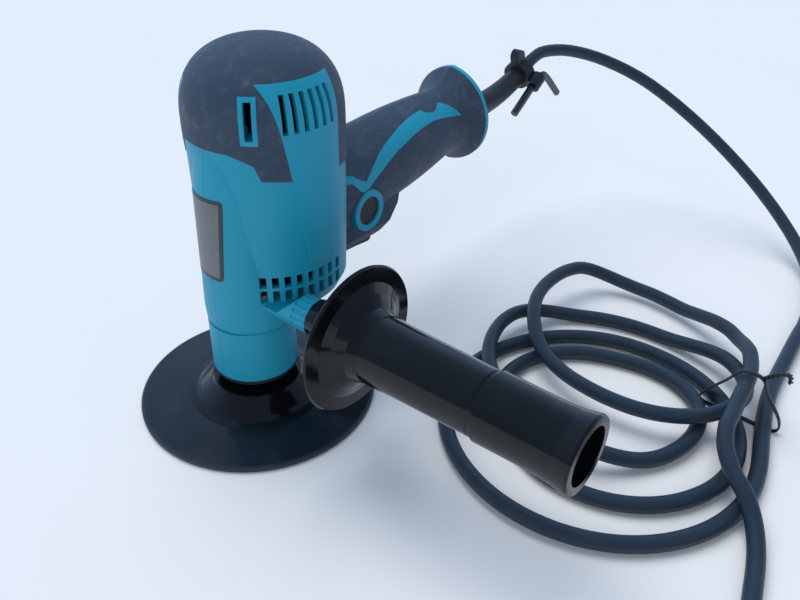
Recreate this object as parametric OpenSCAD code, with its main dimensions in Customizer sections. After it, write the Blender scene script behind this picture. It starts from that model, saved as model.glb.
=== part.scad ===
// Upright rotary disc polisher: clamshell motor body with soft overmoulds, rear grip with trigger and
// lock button, screw-in side handle, rubber backing pad and a mains cord laid in tied loops.
// Millimetres. The spindle axis is Z, the pad face lies on z = 0, the rear grip points to +X and the side
// handle to -Y. Heights of the tool above its pad are given for a nose that starts at nose_base.

/* [Pad] */
// radius of the rubber backing pad
pad_r = 61; // [56:0.5:66]
// thickness of the pad at its rim
pad_rim_t = 3; // [2.4:0.1:3.6]
// thickness of the pad beside its hub
pad_mid_t = 4.6; // [4:0.1:5.4]
// radius of the recess in the middle of the pad face
pad_recess_r = 11; // [10:0.5:12]
// radius of the hub's foot on the pad
hub_foot_r = 30; // [27:0.5:33]
// radius of the hub's top
hub_top_r = 22.5; // [20:0.5:24]
// height of the hub's top above the pad face
hub_top_z = 14; // [13:0.5:16]
// open height between the hub and the nose
pad_gap = 6; // [4:0.5:8]

/* [Body] */
// distance from the spindle axis to the motor axis, which is also the gear centre distance
motor_x = 20.5; // [20:0.1:21]
// radius of the motor body
body_r = 35.7; // [35.6:0.1:37]
// wall thickness of the housing
wall = 2.6; // [2.2:0.1:2.9]
// height of the top of the body
body_top = 181.5; // [180:0.5:184]
// height at which the domed top begins
dome_z = 148; // [147:0.5:150]
// fullness of the dome, where 2 is an ellipse
dome_n = 2.5; // [2.2:0.1:2.8]
// radius of the nose at its lower end
nose_r = 21.6; // [21.4:0.1:22.2]
// radius of the rounded front at its shoulder above the nose
shoulder_r = 23.1; // [22.9:0.1:23.6]
// thickness of the soft overmould
skin_t = 1.8; // [1.5:0.1:2.1]
// how far the top overmould and the side panels stand proud of the body
proud = 0.7; // [0.5:0.1:0.9]
// number of louvres in each side panel
louvre_n = 6; // [4:1:7]
// width of a louvre
louvre_w = 2.3; // [1.8:0.1:2.8]
// number of columns of exhaust vents on each side
vent_n = 8; // [6:1:8]
// width of an exhaust vent
vent_w = 3.2; // [2.6:0.1:3.8]

/* [Gears] */
// teeth of the pinion on the armature shaft
pinion_teeth = 9; // [8:1:10]
// teeth of the gear on the spindle
gear_teeth = 41; // [40:1:42]
// face width of the spindle gear
gear_h = 9.5; // [8:0.5:10]
// play between the meshing teeth
backlash = 0.16; // [0.12:0.01:0.2]

/* [Motor] */
// radius of the armature core
core_r = 17.6; // [17:0.1:18]
// height of the armature and field cores
core_h = 40; // [36:0.5:42]
// air gap between armature and field
air_gap = 0.6; // [0.5:0.05:0.8]
// radius of the commutator
commutator_r = 11; // [10.4:0.1:11.6]
// radius of the cooling fan
fan_r = 26; // [24:0.5:27]
// number of fan blades
fan_n = 12; // [9:1:15]

/* [Rear handle] */
// half width of the grip at its root
grip_root_w = 23; // [22.4:0.1:23.4]
// half width of the grip at its waist
grip_waist_w = 16.2; // [15.8:0.1:16.8]
// radius of the flared end of the handle
flare_r = 29.2; // [28:0.2:30]
// radius of the collar round the lock button
lock_ring_r = 10.8; // [10.2:0.1:11.4]
// radius of the lock button
lock_r = 7.2; // [6.6:0.1:7.6]
// how far the lock button is pressed in
lock_travel = 4; // [3:0.5:4.5]
// width of the trigger
trigger_w = 16; // [14:0.5:17]
// length of the trigger along the handle
trigger_l = 21; // [19:0.5:22]
// how far the trigger is squeezed
trigger_travel = 6; // [4:0.5:6.5]

/* [Side handle] */
// height of the side handle's axis
side_z = 68; // [67.4:0.1:68.6]
// radius of the hand guard
guard_r = 34.3; // [31:0.5:36]
// radius of the grip behind the guard
side_grip_r = 15.2; // [14:0.2:16.4]
// radius of the lip at the tip
side_lip_r = 16.9; // [16.5:0.1:18]
// distance of the tip from the spindle axis
side_tip = 183.7; // [176:0.5:190]
// radius of the mounting stud and its socket
stud_r = 4; // [3.8:0.1:4.2]

/* [Cord] */
// diameter of the mains cord
cord_d = 7.8; // [7:0.1:8.2]
// number of sides of the cord's section
cord_sides = 8; // [8:1:10]
// clear space between touching loops of the cord
loop_gap = 0.6; // [0.5:0.1:0.9]

/* [Clearances] */
// space between bonded or seated round faces
fit_gap = 0.05; // [0.03:0.01:0.08]
// radial running clearance of a shaft in its bearing
run_gap = 0.06; // [0.03:0.01:0.09]
// space round a sliding button or trigger
slide_gap = 0.4; // [0.35:0.05:0.5]

/* [Hidden] */
$fn = 96;
// larger than the whole tool
big = 400;
// height of the nose's lower end in the drawing of the tool
nose_base = 20;
// lift of the tool above that drawing
lift = hub_top_z + pad_gap - nose_base;
// overlap that joins solids of one piece
lap = 0.6;

// Housing heights and profile
front_x = 2;
groove_z = 50.4;
foot_z = 46;
foot_r = 13.5;
waist_z = 62;
waist_r = 31;
skirt_z = 68.5;
skirt_r = body_r - 1.4;
belly_z = 110;
dome_steps = 22;
skin_in = skin_t - proud;
cap_front_z = 143;
cap_step_z = 138;
cap_side_z = 130;
cap_back_z = 127;
cap_curve = [[1.6, 0], [5.4, -3], [7.8, cap_step_z - cap_front_z], [9.4, cap_side_z + 1.5 - cap_front_z]];
cap_low_x = 15;
cap_rear_x = 18;
panel_top_z = 171;
panel_foot_z = 86;
panel_top_hw = 22;
panel_back_hw = 11.5;
panel_foot_hw = 9.5;
louvre_z0 = 151;
louvre_z1 = 167;
louvre_a0 = 61.5;
louvre_step = 38.5 / (louvre_n - 1);
frame_a = 37.5;
frame_w = 7.4;
frame_z0 = 147.4;
frame_z1 = 167;
slot_w = 3.4;
slot_z0 = 149.4;
slot_z1 = 165;
vent_a0 = 36;
vent_step = 67 / (vent_n - 1);
vent_rows = [[68.6, 75], [76.6, 82.4]];
shell_r = body_r - wall;
cavity_z = 71.2;

// Gear train
gear_m = 2 * motor_x / (pinion_teeth + gear_teeth);
pressure_a = 20;
tooth_shift = 0.48;
tip_short = 0.2 * gear_m;
gear_z = 50;
gear_tip_r = gear_m * (gear_teeth / 2 + 1 - tooth_shift);
pinion_tip_r = gear_m * (pinion_teeth / 2 + 1 + tooth_shift) - tip_short;
flank_steps = 5;
shaft_r = 5;
spindle_r = 6;
spindle_top_r = 4;
collar_r = 9;
case_r = nose_r - 2.1;
case_top_r = nose_r - 1.8;
chamber_r = gear_tip_r + 0.9;
pinion_room_r = pinion_tip_r + 1.2;
pocket_r = pinion_room_r + 2.4;
ring_h = 3;
case_z = nose_base + ring_h;
case_step_z = 48;
cover_z = 61;
cover_h = 10;
bearing_r = 14;
bearing_h = 8;
bearing_z = case_z + 3;
bush_r = 6;
bush_h = 6.5;
low_bearing_r = 13;
cover_r = 15.9;

// Motor stack
core_z = 92;
core_mid = core_z + core_h / 2;
field_in_r = core_r + air_gap;
field_out_r = shell_r - 2.4;
yoke_t = 4.6;
yoke_in_r = field_out_r - yoke_t;
shoe_t = 1.7;
coil_x = field_in_r + 1.2;
coil_t = 0.45 * (yoke_in_r - coil_x);
coil_hw = sqrt(pow(yoke_in_r - 2 * fit_gap, 2) - pow(coil_x + coil_t, 2));
pole_hw = coil_hw - coil_t;
coil_head = 5.4;
slot_n = 12;
slot_ring_r = core_r - 5.4;
slot_r = 2.9;
head_r = core_r - 1.8;
head_h = 6.4;
fan_z = cover_z + cover_h + 1.4;
fan_h = 9.6;
fan_hub_r = 9;
blade_t = 1.4;
baffle_z = 84;
baffle_t = 2;
baffle_in_r = 20;
segment_n = 24;
top_bearing_r = 11;
top_bearing_h = 6;
top_bearing_z = 159;
head_gap = 3.6;
bearing_gap = 4;
commutator_z = core_z + core_h + head_h + head_gap;
commutator_h = top_bearing_z - bearing_gap - commutator_z;
top_shaft_r = 3.5;
brush_z = commutator_z + commutator_h / 2;
brush_w = 5;
brush_h = 8;
holder_t = 1.2;
holder_out = 28;
shelf_t = 2;
spoke_w = 10;

// Rear handle
handle_o = [124.75, 0, 101.4];
handle_tilt = 3.6;
lens_e = 4;
handle_s = [-85, -65, -35, -25, -15, -5, 5, 15, 24, 29.5];
handle_k = [1.06, 0.93, 0.78, 0.76, 0.71, 0.62, 0.5, 0.35, 0.2, 0.25];
flare_s = [33.5, 37, 40, 42];
flare_k = [0.2, 0.55, 0.86, 1];
handle_end = 44.8;
neck_w = lens_e + grip_waist_w + handle_k[9] * (grip_root_w - grip_waist_w);
handle_line = concat([for (i = [0:len(handle_s) - 1])
                      [lens_e + grip_waist_w + handle_k[i] * (grip_root_w - grip_waist_w), handle_s[i]]],
                     [for (i = [0:len(flare_s) - 1]) [neck_w + flare_k[i] * (flare_r - neck_w),
                       flare_s[i]]]);
root_side = [[40, 66.5], [42, 65], [84, 65], [89, 68.5], [97, 78], [100, 92], [40, 92]];
root_end = [[-15.8, 93], [-15.8, 70], [-13.4, 65], [13.4, 65], [15.8, 70], [15.8, 93]];
grip_wall = 2.6;
inlay = [[66, 97], [67, 99.6], [89, 109.8], [103, 116], [116, 120], [124, 121], [127.5, 118.5],
         [134.5, 118.3], [140.5, 120.8], [144, 119], [157, 110], [139, 114.1], [114, 113.2], [89, 106.6],
         [75.5, 99.5], [72, 95]];
inlay_v = [[44, 114], [57, 109.2], [68, 99.4], [70, 95.6], [63, 97.5], [55, 106.2], [44, 109.5]];
guard_hole_r = 8.3;

// Switch, trigger and lock button
lock_x = 64.5;
lock_z = 88.5;
lock_face = 23.6;
lock_in = 1;
lock_flange_r = lock_r + 1.5;
lock_flange_y = 13.4;
lock_flange_t = 1.6;
lock_stem_r = 3.2;
lock_stem_end = 1.2;
trigger_x = 61.5;
trigger_bottom = 58;
trigger_lip = 1.6;
trigger_flange_z = 68;
trigger_flange_t = 2.2;
trigger_room_z = 78;
switch_x0 = 75;
switch_l = 32;
switch_hw = 8.4;
switch_z0 = 87;
switch_h = 20;
rib_x = [86, 100];
rib_t = 4;
rib_h = 9;
plunger_x = 79;
plunger_r = 2.4;
spring_wire = 0.8;

// Housing screws, as places in the parting plane
screws = [[motor_x - 27, 150], [motor_x + 27, 150], [motor_x, 173.6], [66, 110.5], [117, 101],
          [146, 102.5]];
screw_seat = 11;
screw_r = 1.8;
screw_head_r = 3.5;
screw_head_h = 2.4;
screw_end = -12;
boss_r = 4.8;

// Side handle
collar_end = 46.8;
socket_end = 47.2;
socket_start = 38.4;
slope_y = [29, 39.2];
slope_z = [67.4, 77];
bulge_r = 8.6;
insert_r = 6;
flute_n = 16;
flute_r = 0.9;
side_neck_r = 9.2;
guard_y = 70.6;
guard_foot_r = 20;
guard_back_r = 23;
joint_y = 138;
joint_l = 3;
tip_neck = 17.7;
tip_hole_r = 12;
tip_hole_l = 28;
stud_l = 36;

// Cord guard and cord route
cord_r = cord_d / 2;
guard_route = [[152, 0, 99.3], [159, 0, 99.3], [170, 0, 99.4], [184, 0, 99.6], [198, 0, 100],
               [212, 0, 101.2], [226, 0, 103.6], [239, 0, 107.2], [250, 0, 111.2]];
guard_start = 5;
guard_r0 = 8;
guard_r1 = 6;
guard_flange_x = 159;
guard_flange_t = 4;
guard_flange_r = 10.4;
guard_z = 99.3;
route_steps = 3;
bore_gap = 0.5;
lead_route = [[260, 0, 114.8], [272, -2, 117], [292, -11, 114.5], [313, -29, 106], [330, -57, 91],
              [338, -97, 67], [335, -139, 41], [320, -175, 19], [293, -199, 7], [264, -207.8, cord_r],
              [240.8, -210.8, cord_r], [233, -211, cord_r]];
coil_entry = [[233, -211], [225.2, -211.2], [214, -211.6], [200, -212.3], [185, -213], [170, -214],
              [155, -216], [140, -219], [126, -222.5], [115, -225.6]];
tie_at = [139, -211, 0];
tie_off = [0.65, -0.75, 0];
tie_lift = 1.6;
tie_x = 138.6;
tie_w = 3;
tie_in = [[-224, 1.4], [-189, 1.4], [-188, 6], [-197.6, 20], [-203, 28], [-212, 28], [-216.6, 20],
          [-225, 8]];
tie_out = [[-224.8, 0.1], [-188.2, 0.1], [-186.6, 6.2], [-196.4, 20.5], [-202.2, 29.3], [-212.8, 29.3],
           [-217.8, 20.7], [-226.4, 8.4]];
// each loop: direction from the tie to its far end, half its length, how far its way back is drawn in
loops = [[131, 77, 0.9], [129, 58, 0.9], [98, 65, 0.76], [65, 66, 0.6], [122, 90, 1]];
// offsets of the line at the tie and its height in cord layers, each against the number of turns
shifts = [[0, 0], [0.66, 0], [1, -8.9], [1.42, -8.9], [1.86, -25], [2.06, -25], [2.4, -8], [3, -6], [5,
  -6]];
rises = [[0, 0], [2.1, 0], [2.22, 1], [2.54, 1], [2.68, 0], [2.78, 0], [2.9, 1.05], [3.26, 1.05], [3.38,
  1.9],
         [3.46, 1.9], [3.64, 0.4], [3.7, 0.4], [3.81, 1.5], [3.89, 2.15], [5, 2.15]];
loop_mix = 0.2;
loop_start = 0.08;
loop_end = 4.05;
loop_rings = 36;
level = cord_d + loop_gap;
tail_route = [[92, -213, 20.5], [83, -220, 17], [76.5, -229, 13.4], [68, -237, 8], [54, -243.6, 4.2],
              [32, -249, cord_r], [8, -255, cord_r], [-17, -263, 6], [-41, -272, 9], [-49, -275, 9]];
plug_a = 200.6;
plug_z = 9;
plug_l = 42;
plug_w = 26;
blade_l = 17;

// Hex key in its holder on the cord guard
holder_at = [244, 0, 109];
holder_a = 20;
key_y = -11.4;
key_r = 2.4;
key_route = [[222, key_y, 90], [234, key_y, 97.6], [246, key_y, 105.2], [252, key_y, 107.6], [257,
  key_y, 106.6],
             [263, key_y, 102.4], [278, key_y, 89]];
key_a = 32.4;

// Helpers
module raised() {
  translate([0, 0, lift]) children();
}

module on_motor(z) {
  translate([motor_x, 0, z]) children();
}

module half(side) {
  intersection() {
    children();
    translate([-big, side > 0 ? 0 : -2 * big, -big]) cube([2 * big, 2 * big, 2 * big]);
  }
}

module side_prism(points) {
  rotate([90, 0, 0]) linear_extrude(height = big, center = true) polygon(points);
}

module ring(r1, r0, h) {
  difference() {
    cylinder(r = r1, h = h);
    translate([0, 0, -lap]) cylinder(r = r0, h = h + 2 * lap);
  }
}

// y is measured outwards from the parting plane on the given side
module across(side, y) {
  translate([0, side * y, 0]) rotate([side > 0 ? -90 : 90, 0, 0]) children();
}

module radial_box(side, a, r0, r1, w, z0, z1) {
  translate([motor_x, 0, z0]) rotate([0, 0, 180 - side * a]) translate([r0, -w / 2, 0])
    cube([r1 - r0, w, z1 - z0]);
}

function unit(v) = v / norm(v);

// A tube through rings of points: centre line c, radii r, number of sides n
function tangent(c, i) = unit(c[min(i + 1, len(c) - 1)] - c[max(i - 1, 0)]);
function side_of(t) = unit(cross(abs(t[2]) > 0.9 ? [1, 0, 0] : [0, 0, 1], t));
module tube(c, r, n) {
  m = len(c);
  points = [for (i = [0:m - 1])
            let (t = tangent(c, i), u = side_of(t), v = cross(t, u))
            for (k = [0:n - 1]) c[i] + r[i] * (cos(360 * k / n) * u + sin(360 * k / n) * v)];
  faces = concat([[for (k = [n - 1:-1:0]) k]],
                 [for (i = [0:m - 2]) for (k = [0:n - 1])
                  [i * n + k, i * n + (k + 1) % n, (i + 1) * n + (k + 1) % n, (i + 1) * n + k]],
                 [[for (k = [0:n - 1]) (m - 1) * n + k]]);
  polyhedron(points = points, faces = faces, convexity = 10);
}

// A smooth line through route points, with the given number of steps between two of them
function bend(p, i, u) =
  let (a = p[max(i - 1, 0)], b = p[i], c = p[i + 1], d = p[min(i + 2, len(p) - 1)])
  0.5 * (2 * b + (c - a) * u + (2 * a - 5 * b + 4 * c - d) * u * u + (3 * b - a - 3 * c + d) * u * u * u);
function smooth(p, steps) = concat([for (i = [0:len(p) - 2]) for (j = [0:steps - 1]) bend(p, i, j / steps)],
                                   [p[len(p) - 1]]);

// Housing forms
module barrel(g) {
  on_motor(0) rotate_extrude() polygon(concat(
    [[0, foot_z - g], [foot_r + g, foot_z - g], [waist_r + g, waist_z - g], [skirt_r + g, skirt_z],
     [body_r + g, belly_z]],
    [for (i = [0:dome_steps])
     [(body_r + g) * pow(cos(90 * i / dome_steps), 2 / dome_n),
      dome_z + (body_top - dome_z + g - proud) * pow(sin(90 * i / dome_steps), 2 / dome_n)]]));
}

// the nose, and the rounded front that carries its line up into the barrel
module nose() {
  rotate_extrude() polygon([[0, nose_base + ring_h], [nose_r, nose_base + ring_h], [nose_r - 0.5, groove_z],
    [nose_r - 0.5, groove_z + lap], [0, groove_z + lap]]);
  translate([front_x, 0, 0]) rotate_extrude() polygon([[0, groove_z], [shoulder_r - 1.1, groove_z],
    [shoulder_r - 0.3, groove_z + 2], [shoulder_r, groove_z + 9], [shoulder_r - 0.4, groove_z + 18],
    [shoulder_r - 0.9, groove_z + 28], [shoulder_r - 1.8, groove_z + 50], [shoulder_r - 2.6, groove_z + 70],
    [shoulder_r - 4.2, groove_z + 83], [shoulder_r - 6, cap_front_z - 1], [0, cap_front_z - 1]]);
}

module panel_mask() {
  side_prism([[motor_x - panel_top_hw, panel_top_z], [motor_x + panel_back_hw, panel_top_z],
              [motor_x + panel_foot_hw, panel_foot_z], [motor_x - panel_foot_hw, panel_foot_z]]);
}

module frame_mask(side) {
  radial_box(side, frame_a, shell_r - wall, body_r + wall, frame_w, frame_z0, frame_z1);
}

module cap_mask(side) {
  front = motor_x - body_r;
  difference() {
    side_prism(concat([[front - wall, cap_front_z]], [for (p = cap_curve) [front + p[0], cap_front_z + p[1]]],
                      [[motor_x - cap_low_x, cap_side_z], [motor_x + cap_rear_x, cap_back_z + 1],
                       [motor_x + body_r + wall, cap_back_z], [motor_x + body_r + wall, body_top + wall],
                       [front - wall, body_top + wall]]));
    panel_mask();
    frame_mask(side);
  }
}

module on_handle() {
  translate(handle_o) rotate([0, 90 - handle_tilt, 0]) children();
}

// half of the handle: two shallow bodies of revolution meet in the parting plane
module handle_turned(side) {
  half(side) translate([0, -side * lens_e, 0]) on_handle() rotate_extrude() children();
}

// the handle drawn in by g, with the full radius g_end behind the end rim
module handle_form(side, g, g_end) {
  last = handle_line[len(handle_line) - 1];
  handle_turned(side) polygon(concat([[0, handle_s[0]]], [for (p = handle_line) [p[0] - g, p[1]]],
                                     [[last[0] - g_end, last[1]], [last[0] - g_end, handle_end], [0,
                                       handle_end]]));
}

module handle_skin(side) {
  handle_turned(side) polygon(concat(handle_line,
    [for (i = [len(handle_line) - 1:-1:0]) [handle_line[i][0] - skin_t + fit_gap, handle_line[i][1]]]));
}

module root_form(side, g) {
  half(side) intersection() {
    side_prism([for (p = root_side) [p[0] + g, p[1] - g]]);
    rotate([90, 0, 90]) linear_extrude(height = big)
      polygon([for (p = root_end) [p[0] + (p[0] > 0 ? g : -g), p[1] - g]]);
  }
}

module lock_collar(g) {
  translate([lock_x, 0, lock_z]) across(-1, 4) cylinder(r = lock_ring_r + g, h = lock_face - 4 + g);
}

module boss_slope(g) {
  rotate([90, 0, 90]) linear_extrude(height = big, center = true)
    polygon([[0, slope_z[0] + g], [-slope_y[0], slope_z[0] + g], [-slope_y[1], slope_z[1] + g],
             [-slope_y[1], big], [0, big]]);
}

module side_bulge(r, end) {
  difference() {
    translate([0, 0, side_z]) across(-1, 12) cylinder(r = r, h = end - 12);
    boss_slope(r == bulge_r ? 0 : r - bulge_r);
  }
}

module teal_form(side) {
  half(side) {
    barrel(-skin_in);
    difference() {
      barrel(0);
      cap_mask(side);
    }
    intersection() {
      barrel(proud);
      union() {
        panel_mask();
        frame_mask(side);
      }
    }
    nose();
    if (side < 0) difference() {
      side_bulge(bulge_r, collar_end);
      for (i = [0:flute_n - 1]) translate([0, 0, side_z]) rotate([0, 360 * (i + 0.5) / flute_n, 0])
        translate([0, 0, bulge_r + flute_r / 3]) across(-1, slope_y[1] - 1) cylinder(r = flute_r,
          h = 10, $fn = 24);
    }
  }
  handle_form(side, skin_t, 0);
  root_form(side, -skin_t);
  intersection() {
    handle_form(side, 0, 0);
    union() {
      side_prism(inlay);
      side_prism(inlay_v);
    }
  }
  if (side < 0) lock_collar(0);
}

module hollow(side) {
  on_motor(0) rotate_extrude() polygon(concat(
    [[0, cavity_z], [shell_r - 1.4, cavity_z], [shell_r, belly_z]],
    [for (i = [0:dome_steps])
     [shell_r * pow(cos(90 * i / dome_steps), 2 / dome_n),
      dome_z + (body_top - dome_z - proud - wall) * pow(sin(90 * i / dome_steps), 2 / dome_n)]]));
  translate([0, 0, nose_base - lap]) cylinder(r = case_r + fit_gap, h = case_step_z - nose_base + lap);
  translate([0, 0, case_step_z - fit_gap]) cylinder(r = case_top_r + fit_gap,
    h = cavity_z - case_step_z + lap);
  on_motor(case_step_z - fit_gap) cylinder(r = pocket_r + fit_gap, h = cover_z - case_step_z + lap);
  on_motor(cover_z - fit_gap) cylinder(r = cover_r + fit_gap, h = cover_h + 2 * lap);
  if (side < 0) translate([0, 0, side_z]) side_socket_room();
  handle_turned(side) polygon(concat([[0, handle_s[1]]],
    [for (i = [1:len(handle_s) - 2]) [handle_line[i][0] - skin_t - grip_wall, handle_s[i]]],
    [[0, handle_s[len(handle_s) - 2]]]));
  translate([switch_x0 - fit_gap, -switch_hw - fit_gap, switch_z0])
    cube([switch_l + 2 * fit_gap, 2 * (switch_hw + fit_gap), switch_h]);
  trigger_room(trigger_lip + slide_gap, trigger_flange_z - fit_gap, trigger_room_z);
  trigger_room(slide_gap, trigger_bottom - lap, trigger_room_z);
  translate([plunger_x, 0, trigger_room_z - lap])
    cylinder(r = plunger_r + 2.2 * spring_wire + slide_gap, h = switch_z0 - trigger_room_z + 2 * lap);
}

module trigger_room(g, z0, z1) {
  translate([trigger_x - g, -trigger_w / 2 - g, z0]) cube([trigger_l + 2 * g, trigger_w + 2 * g, z1 - z0]);
}

module side_socket_room() {
  difference() {
    across(-1, 12) cylinder(r = insert_r + fit_gap, h = collar_end);
    translate([0, 0, -side_z]) boss_slope(insert_r + fit_gap - bulge_r);
  }
}

module screw_posts() {
  for (p = screws) translate([p[0], 0, p[1]]) rotate([90, 0, 0]) cylinder(r = boss_r, h = big,
    center = true);
}

module inner_ribs(side) {
  on_motor(top_bearing_z) ring(top_bearing_r + 3.4, top_bearing_r + fit_gap, top_bearing_h);
  on_motor(top_bearing_z + top_bearing_h) ring(top_bearing_r + 3.4, top_shaft_r + 2, 1.6);
  for (a = [0, 180]) on_motor(top_bearing_z) rotate([0, 0, a]) translate([top_bearing_r + 1,
    -spoke_w / 2, 0])
    cube([shell_r - top_bearing_r, spoke_w, top_bearing_h]);
  for (z = [core_z, core_z + core_h - 3]) on_motor(z) ring(shell_r + lap, field_out_r + fit_gap, 3);
  on_motor(core_z - 3) ring(shell_r + lap, field_out_r - 1.6, 3);
  on_motor(baffle_z - 1.4) ring(shell_r + lap, shell_r - 2.6, 1.4);
  translate([motor_x - brush_w, side > 0 ? 20 : -shell_r - lap, brush_z - brush_h / 2 - holder_t - shelf_t])
    cube([2 * brush_w, shell_r - 20 + lap, shelf_t]);
}

module handle_ribs(side) {
  for (x = rib_x) difference() {
    translate([x, -big, switch_z0 - rib_h]) cube([rib_t, 2 * big, 2 * rib_h]);
    translate([x - lap, -switch_hw - fit_gap, switch_z0])
      cube([rib_t + 2 * lap, 2 * (switch_hw + fit_gap), 2 * rib_h]);
  }
  if (side > 0) translate([lock_x, 0, lock_z]) across(1, 0) cylinder(r = lock_r - 0.6, h = big);
  if (side < 0) translate([lock_x, 0, lock_z]) across(-1, lock_flange_y) cylinder(r = lock_ring_r, h = 6);
}

module screw_holes() {
  for (p = screws) translate([p[0], 0, p[1]]) {
    translate([0, screw_seat, 0]) rotate([90, 0, 0])
      cylinder(r = screw_r + fit_gap, h = screw_seat - screw_end + lap);
    translate([0, screw_seat, 0]) rotate([-90, 0, 0]) cylinder(r = screw_head_r + slide_gap, h = big);
  }
}

module openings(side) {
  for (i = [0:louvre_n - 1])
    radial_box(side, louvre_a0 + i * louvre_step, core_r, body_r + wall, louvre_w, louvre_z0, louvre_z1);
  radial_box(side, frame_a, core_r, body_r + wall, slot_w, slot_z0, slot_z1);
  for (i = [0:vent_n - 1]) for (z = vent_rows)
    radial_box(side, vent_a0 + i * vent_step, fan_r + 1, body_r + proud, vent_w, z[0], z[1]);
}

module housing(side) {
  difference() {
    union() {
      difference() {
        teal_form(side);
        hollow(side);
      }
      half(side) intersection() {
        inner_ribs(side);
        barrel(-skin_in);
      }
      half(side) intersection() {
        screw_posts();
        union() {
          barrel(-skin_in);
          handle_form(side, skin_t, skin_t);
        }
      }
      half(side) intersection() {
        handle_ribs(side);
        union() {
          handle_form(side, skin_t, skin_t);
          if (side < 0) lock_collar(0);
        }
      }
    }
    openings(side);
    screw_holes();
    translate([lock_x, 0, lock_z]) {
      if (side < 0) {
        across(-1, -lap) cylinder(r = lock_flange_r + slide_gap, h = lock_flange_y + fit_gap + lap);
        across(-1, lock_flange_y - lap) cylinder(r = lock_r + slide_gap, h = big);
      }
      across(side, -lap) cylinder(r = lock_stem_r + slide_gap, h = lock_travel + 4);
    }
    guard_room();
  }
}

module guard_room() {
  translate([guard_flange_x - fit_gap, 0, guard_z]) rotate([0, 90, 0])
    cylinder(r = guard_flange_r + fit_gap, h = guard_flange_t + fit_gap + lap);
  translate([guard_flange_x - 9, 0, guard_z]) rotate([0, 90, 0]) cylinder(r = guard_hole_r, h = 30);
}

module housing_left() {
  color("darkcyan") raised() housing(-1);
}

module housing_right() {
  color("darkcyan") raised() housing(1);
}

// Soft overmoulds
module cap(side) {
  half(side) difference() {
    intersection() {
      barrel(proud);
      cap_mask(side);
    }
    barrel(-skin_in + fit_gap);
    handle_form(side, -fit_gap, 0);
    if (side > 0) screw_holes();
  }
}

module cap_left() {
  color("dimgray") raised() cap(-1);
}

module cap_right() {
  color("dimgray") raised() cap(1);
}

module grip(side) {
  difference() {
    union() {
      difference() {
        handle_skin(side);
        root_form(side, fit_gap - skin_t);
      }
      difference() {
        root_form(side, 0);
        root_form(side, fit_gap - skin_t);
        handle_form(side, skin_t - fit_gap / 2, skin_t);
      }
    }
    barrel(fit_gap);
    side_prism(inlay);
    side_prism(inlay_v);
    if (side < 0) lock_collar(fit_gap);
    trigger_room(slide_gap, trigger_bottom - lap, trigger_room_z);
    trigger_room(trigger_lip + slide_gap, trigger_flange_z - slide_gap, trigger_room_z);
    if (side > 0) screw_holes();
  }
}

module grip_left() {
  color("dimgray") raised() grip(-1);
}

module grip_right() {
  color("dimgray") raised() grip(1);
}

// Nose ring and gear case
module nose_ring() {
  color("black") raised() difference() {
    translate([0, 0, nose_base]) rotate_extrude() polygon([[collar_r + 1.2, 0], [nose_r - 1, 0],
      [nose_r - 0.2, 1], [nose_r - 0.2, ring_h], [collar_r + 1.2, ring_h]]);
    gear_screw_holes();
  }
}

module gear_screw_holes() {
  for (i = [0:3]) rotate([0, 0, 45 + 90 * i]) translate([16.9, 0, nose_base - lap]) {
    cylinder(r = 1.5 + fit_gap, h = 16 + lap);
    cylinder(r = 2.4 + fit_gap, h = 1.8 + lap);
  }
}

module gear_screws() {
  color("silver") raised() for (i = [0:3]) rotate([0, 0, 45 + 90 * i]) translate([16.9, 0, nose_base +
    0.2]) {
    difference() {
      cylinder(r = 2.4, h = 1.6);
      translate([0, 0, -lap]) cylinder(r = 1.2, h = 1.2 + lap, $fn = 6);
    }
    translate([0, 0, 1.4]) cylinder(r = 1.5, h = 13);
  }
}

module gear_case() {
  color("lightgray") raised() difference() {
    union() {
      translate([0, 0, case_z]) cylinder(r = case_r, h = case_step_z - case_z);
      translate([0, 0, case_step_z]) cylinder(r = case_top_r, h = cover_z - case_step_z);
      on_motor(case_step_z) cylinder(r = pocket_r, h = cover_z - case_step_z);
    }
    translate([0, 0, case_z - lap]) cylinder(r = collar_r + 1.2, h = case_step_z);
    translate([0, 0, case_z - lap]) cylinder(r = bearing_r + fit_gap, h = bearing_z +
      bearing_h - case_z + lap);
    translate([0, 0, gear_z - 1]) cylinder(r = chamber_r, h = cover_z);
    on_motor(gear_z - 1) cylinder(r = pinion_room_r, h = cover_z);
    gear_screw_holes();
  }
}

module gear_cover() {
  color("lightgray") raised() difference() {
    union() {
      translate([0, 0, cover_z]) cylinder(r = case_top_r, h = cover_h);
      on_motor(cover_z) cylinder(r = cover_r, h = cover_h);
      side_bulge(insert_r, socket_end);
    }
    on_motor(cover_z + 2) cylinder(r = low_bearing_r + fit_gap, h = cover_h);
    on_motor(cover_z - lap) cylinder(r = pinion_room_r + 1.4, h = cover_h);
    translate([0, 0, cover_z - lap]) cylinder(r = bush_r + fit_gap, h = bush_h + lap);
    translate([0, 0, side_z]) across(-1, socket_start - lap) cylinder(r = stud_r, h = big);
  }
}

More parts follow.
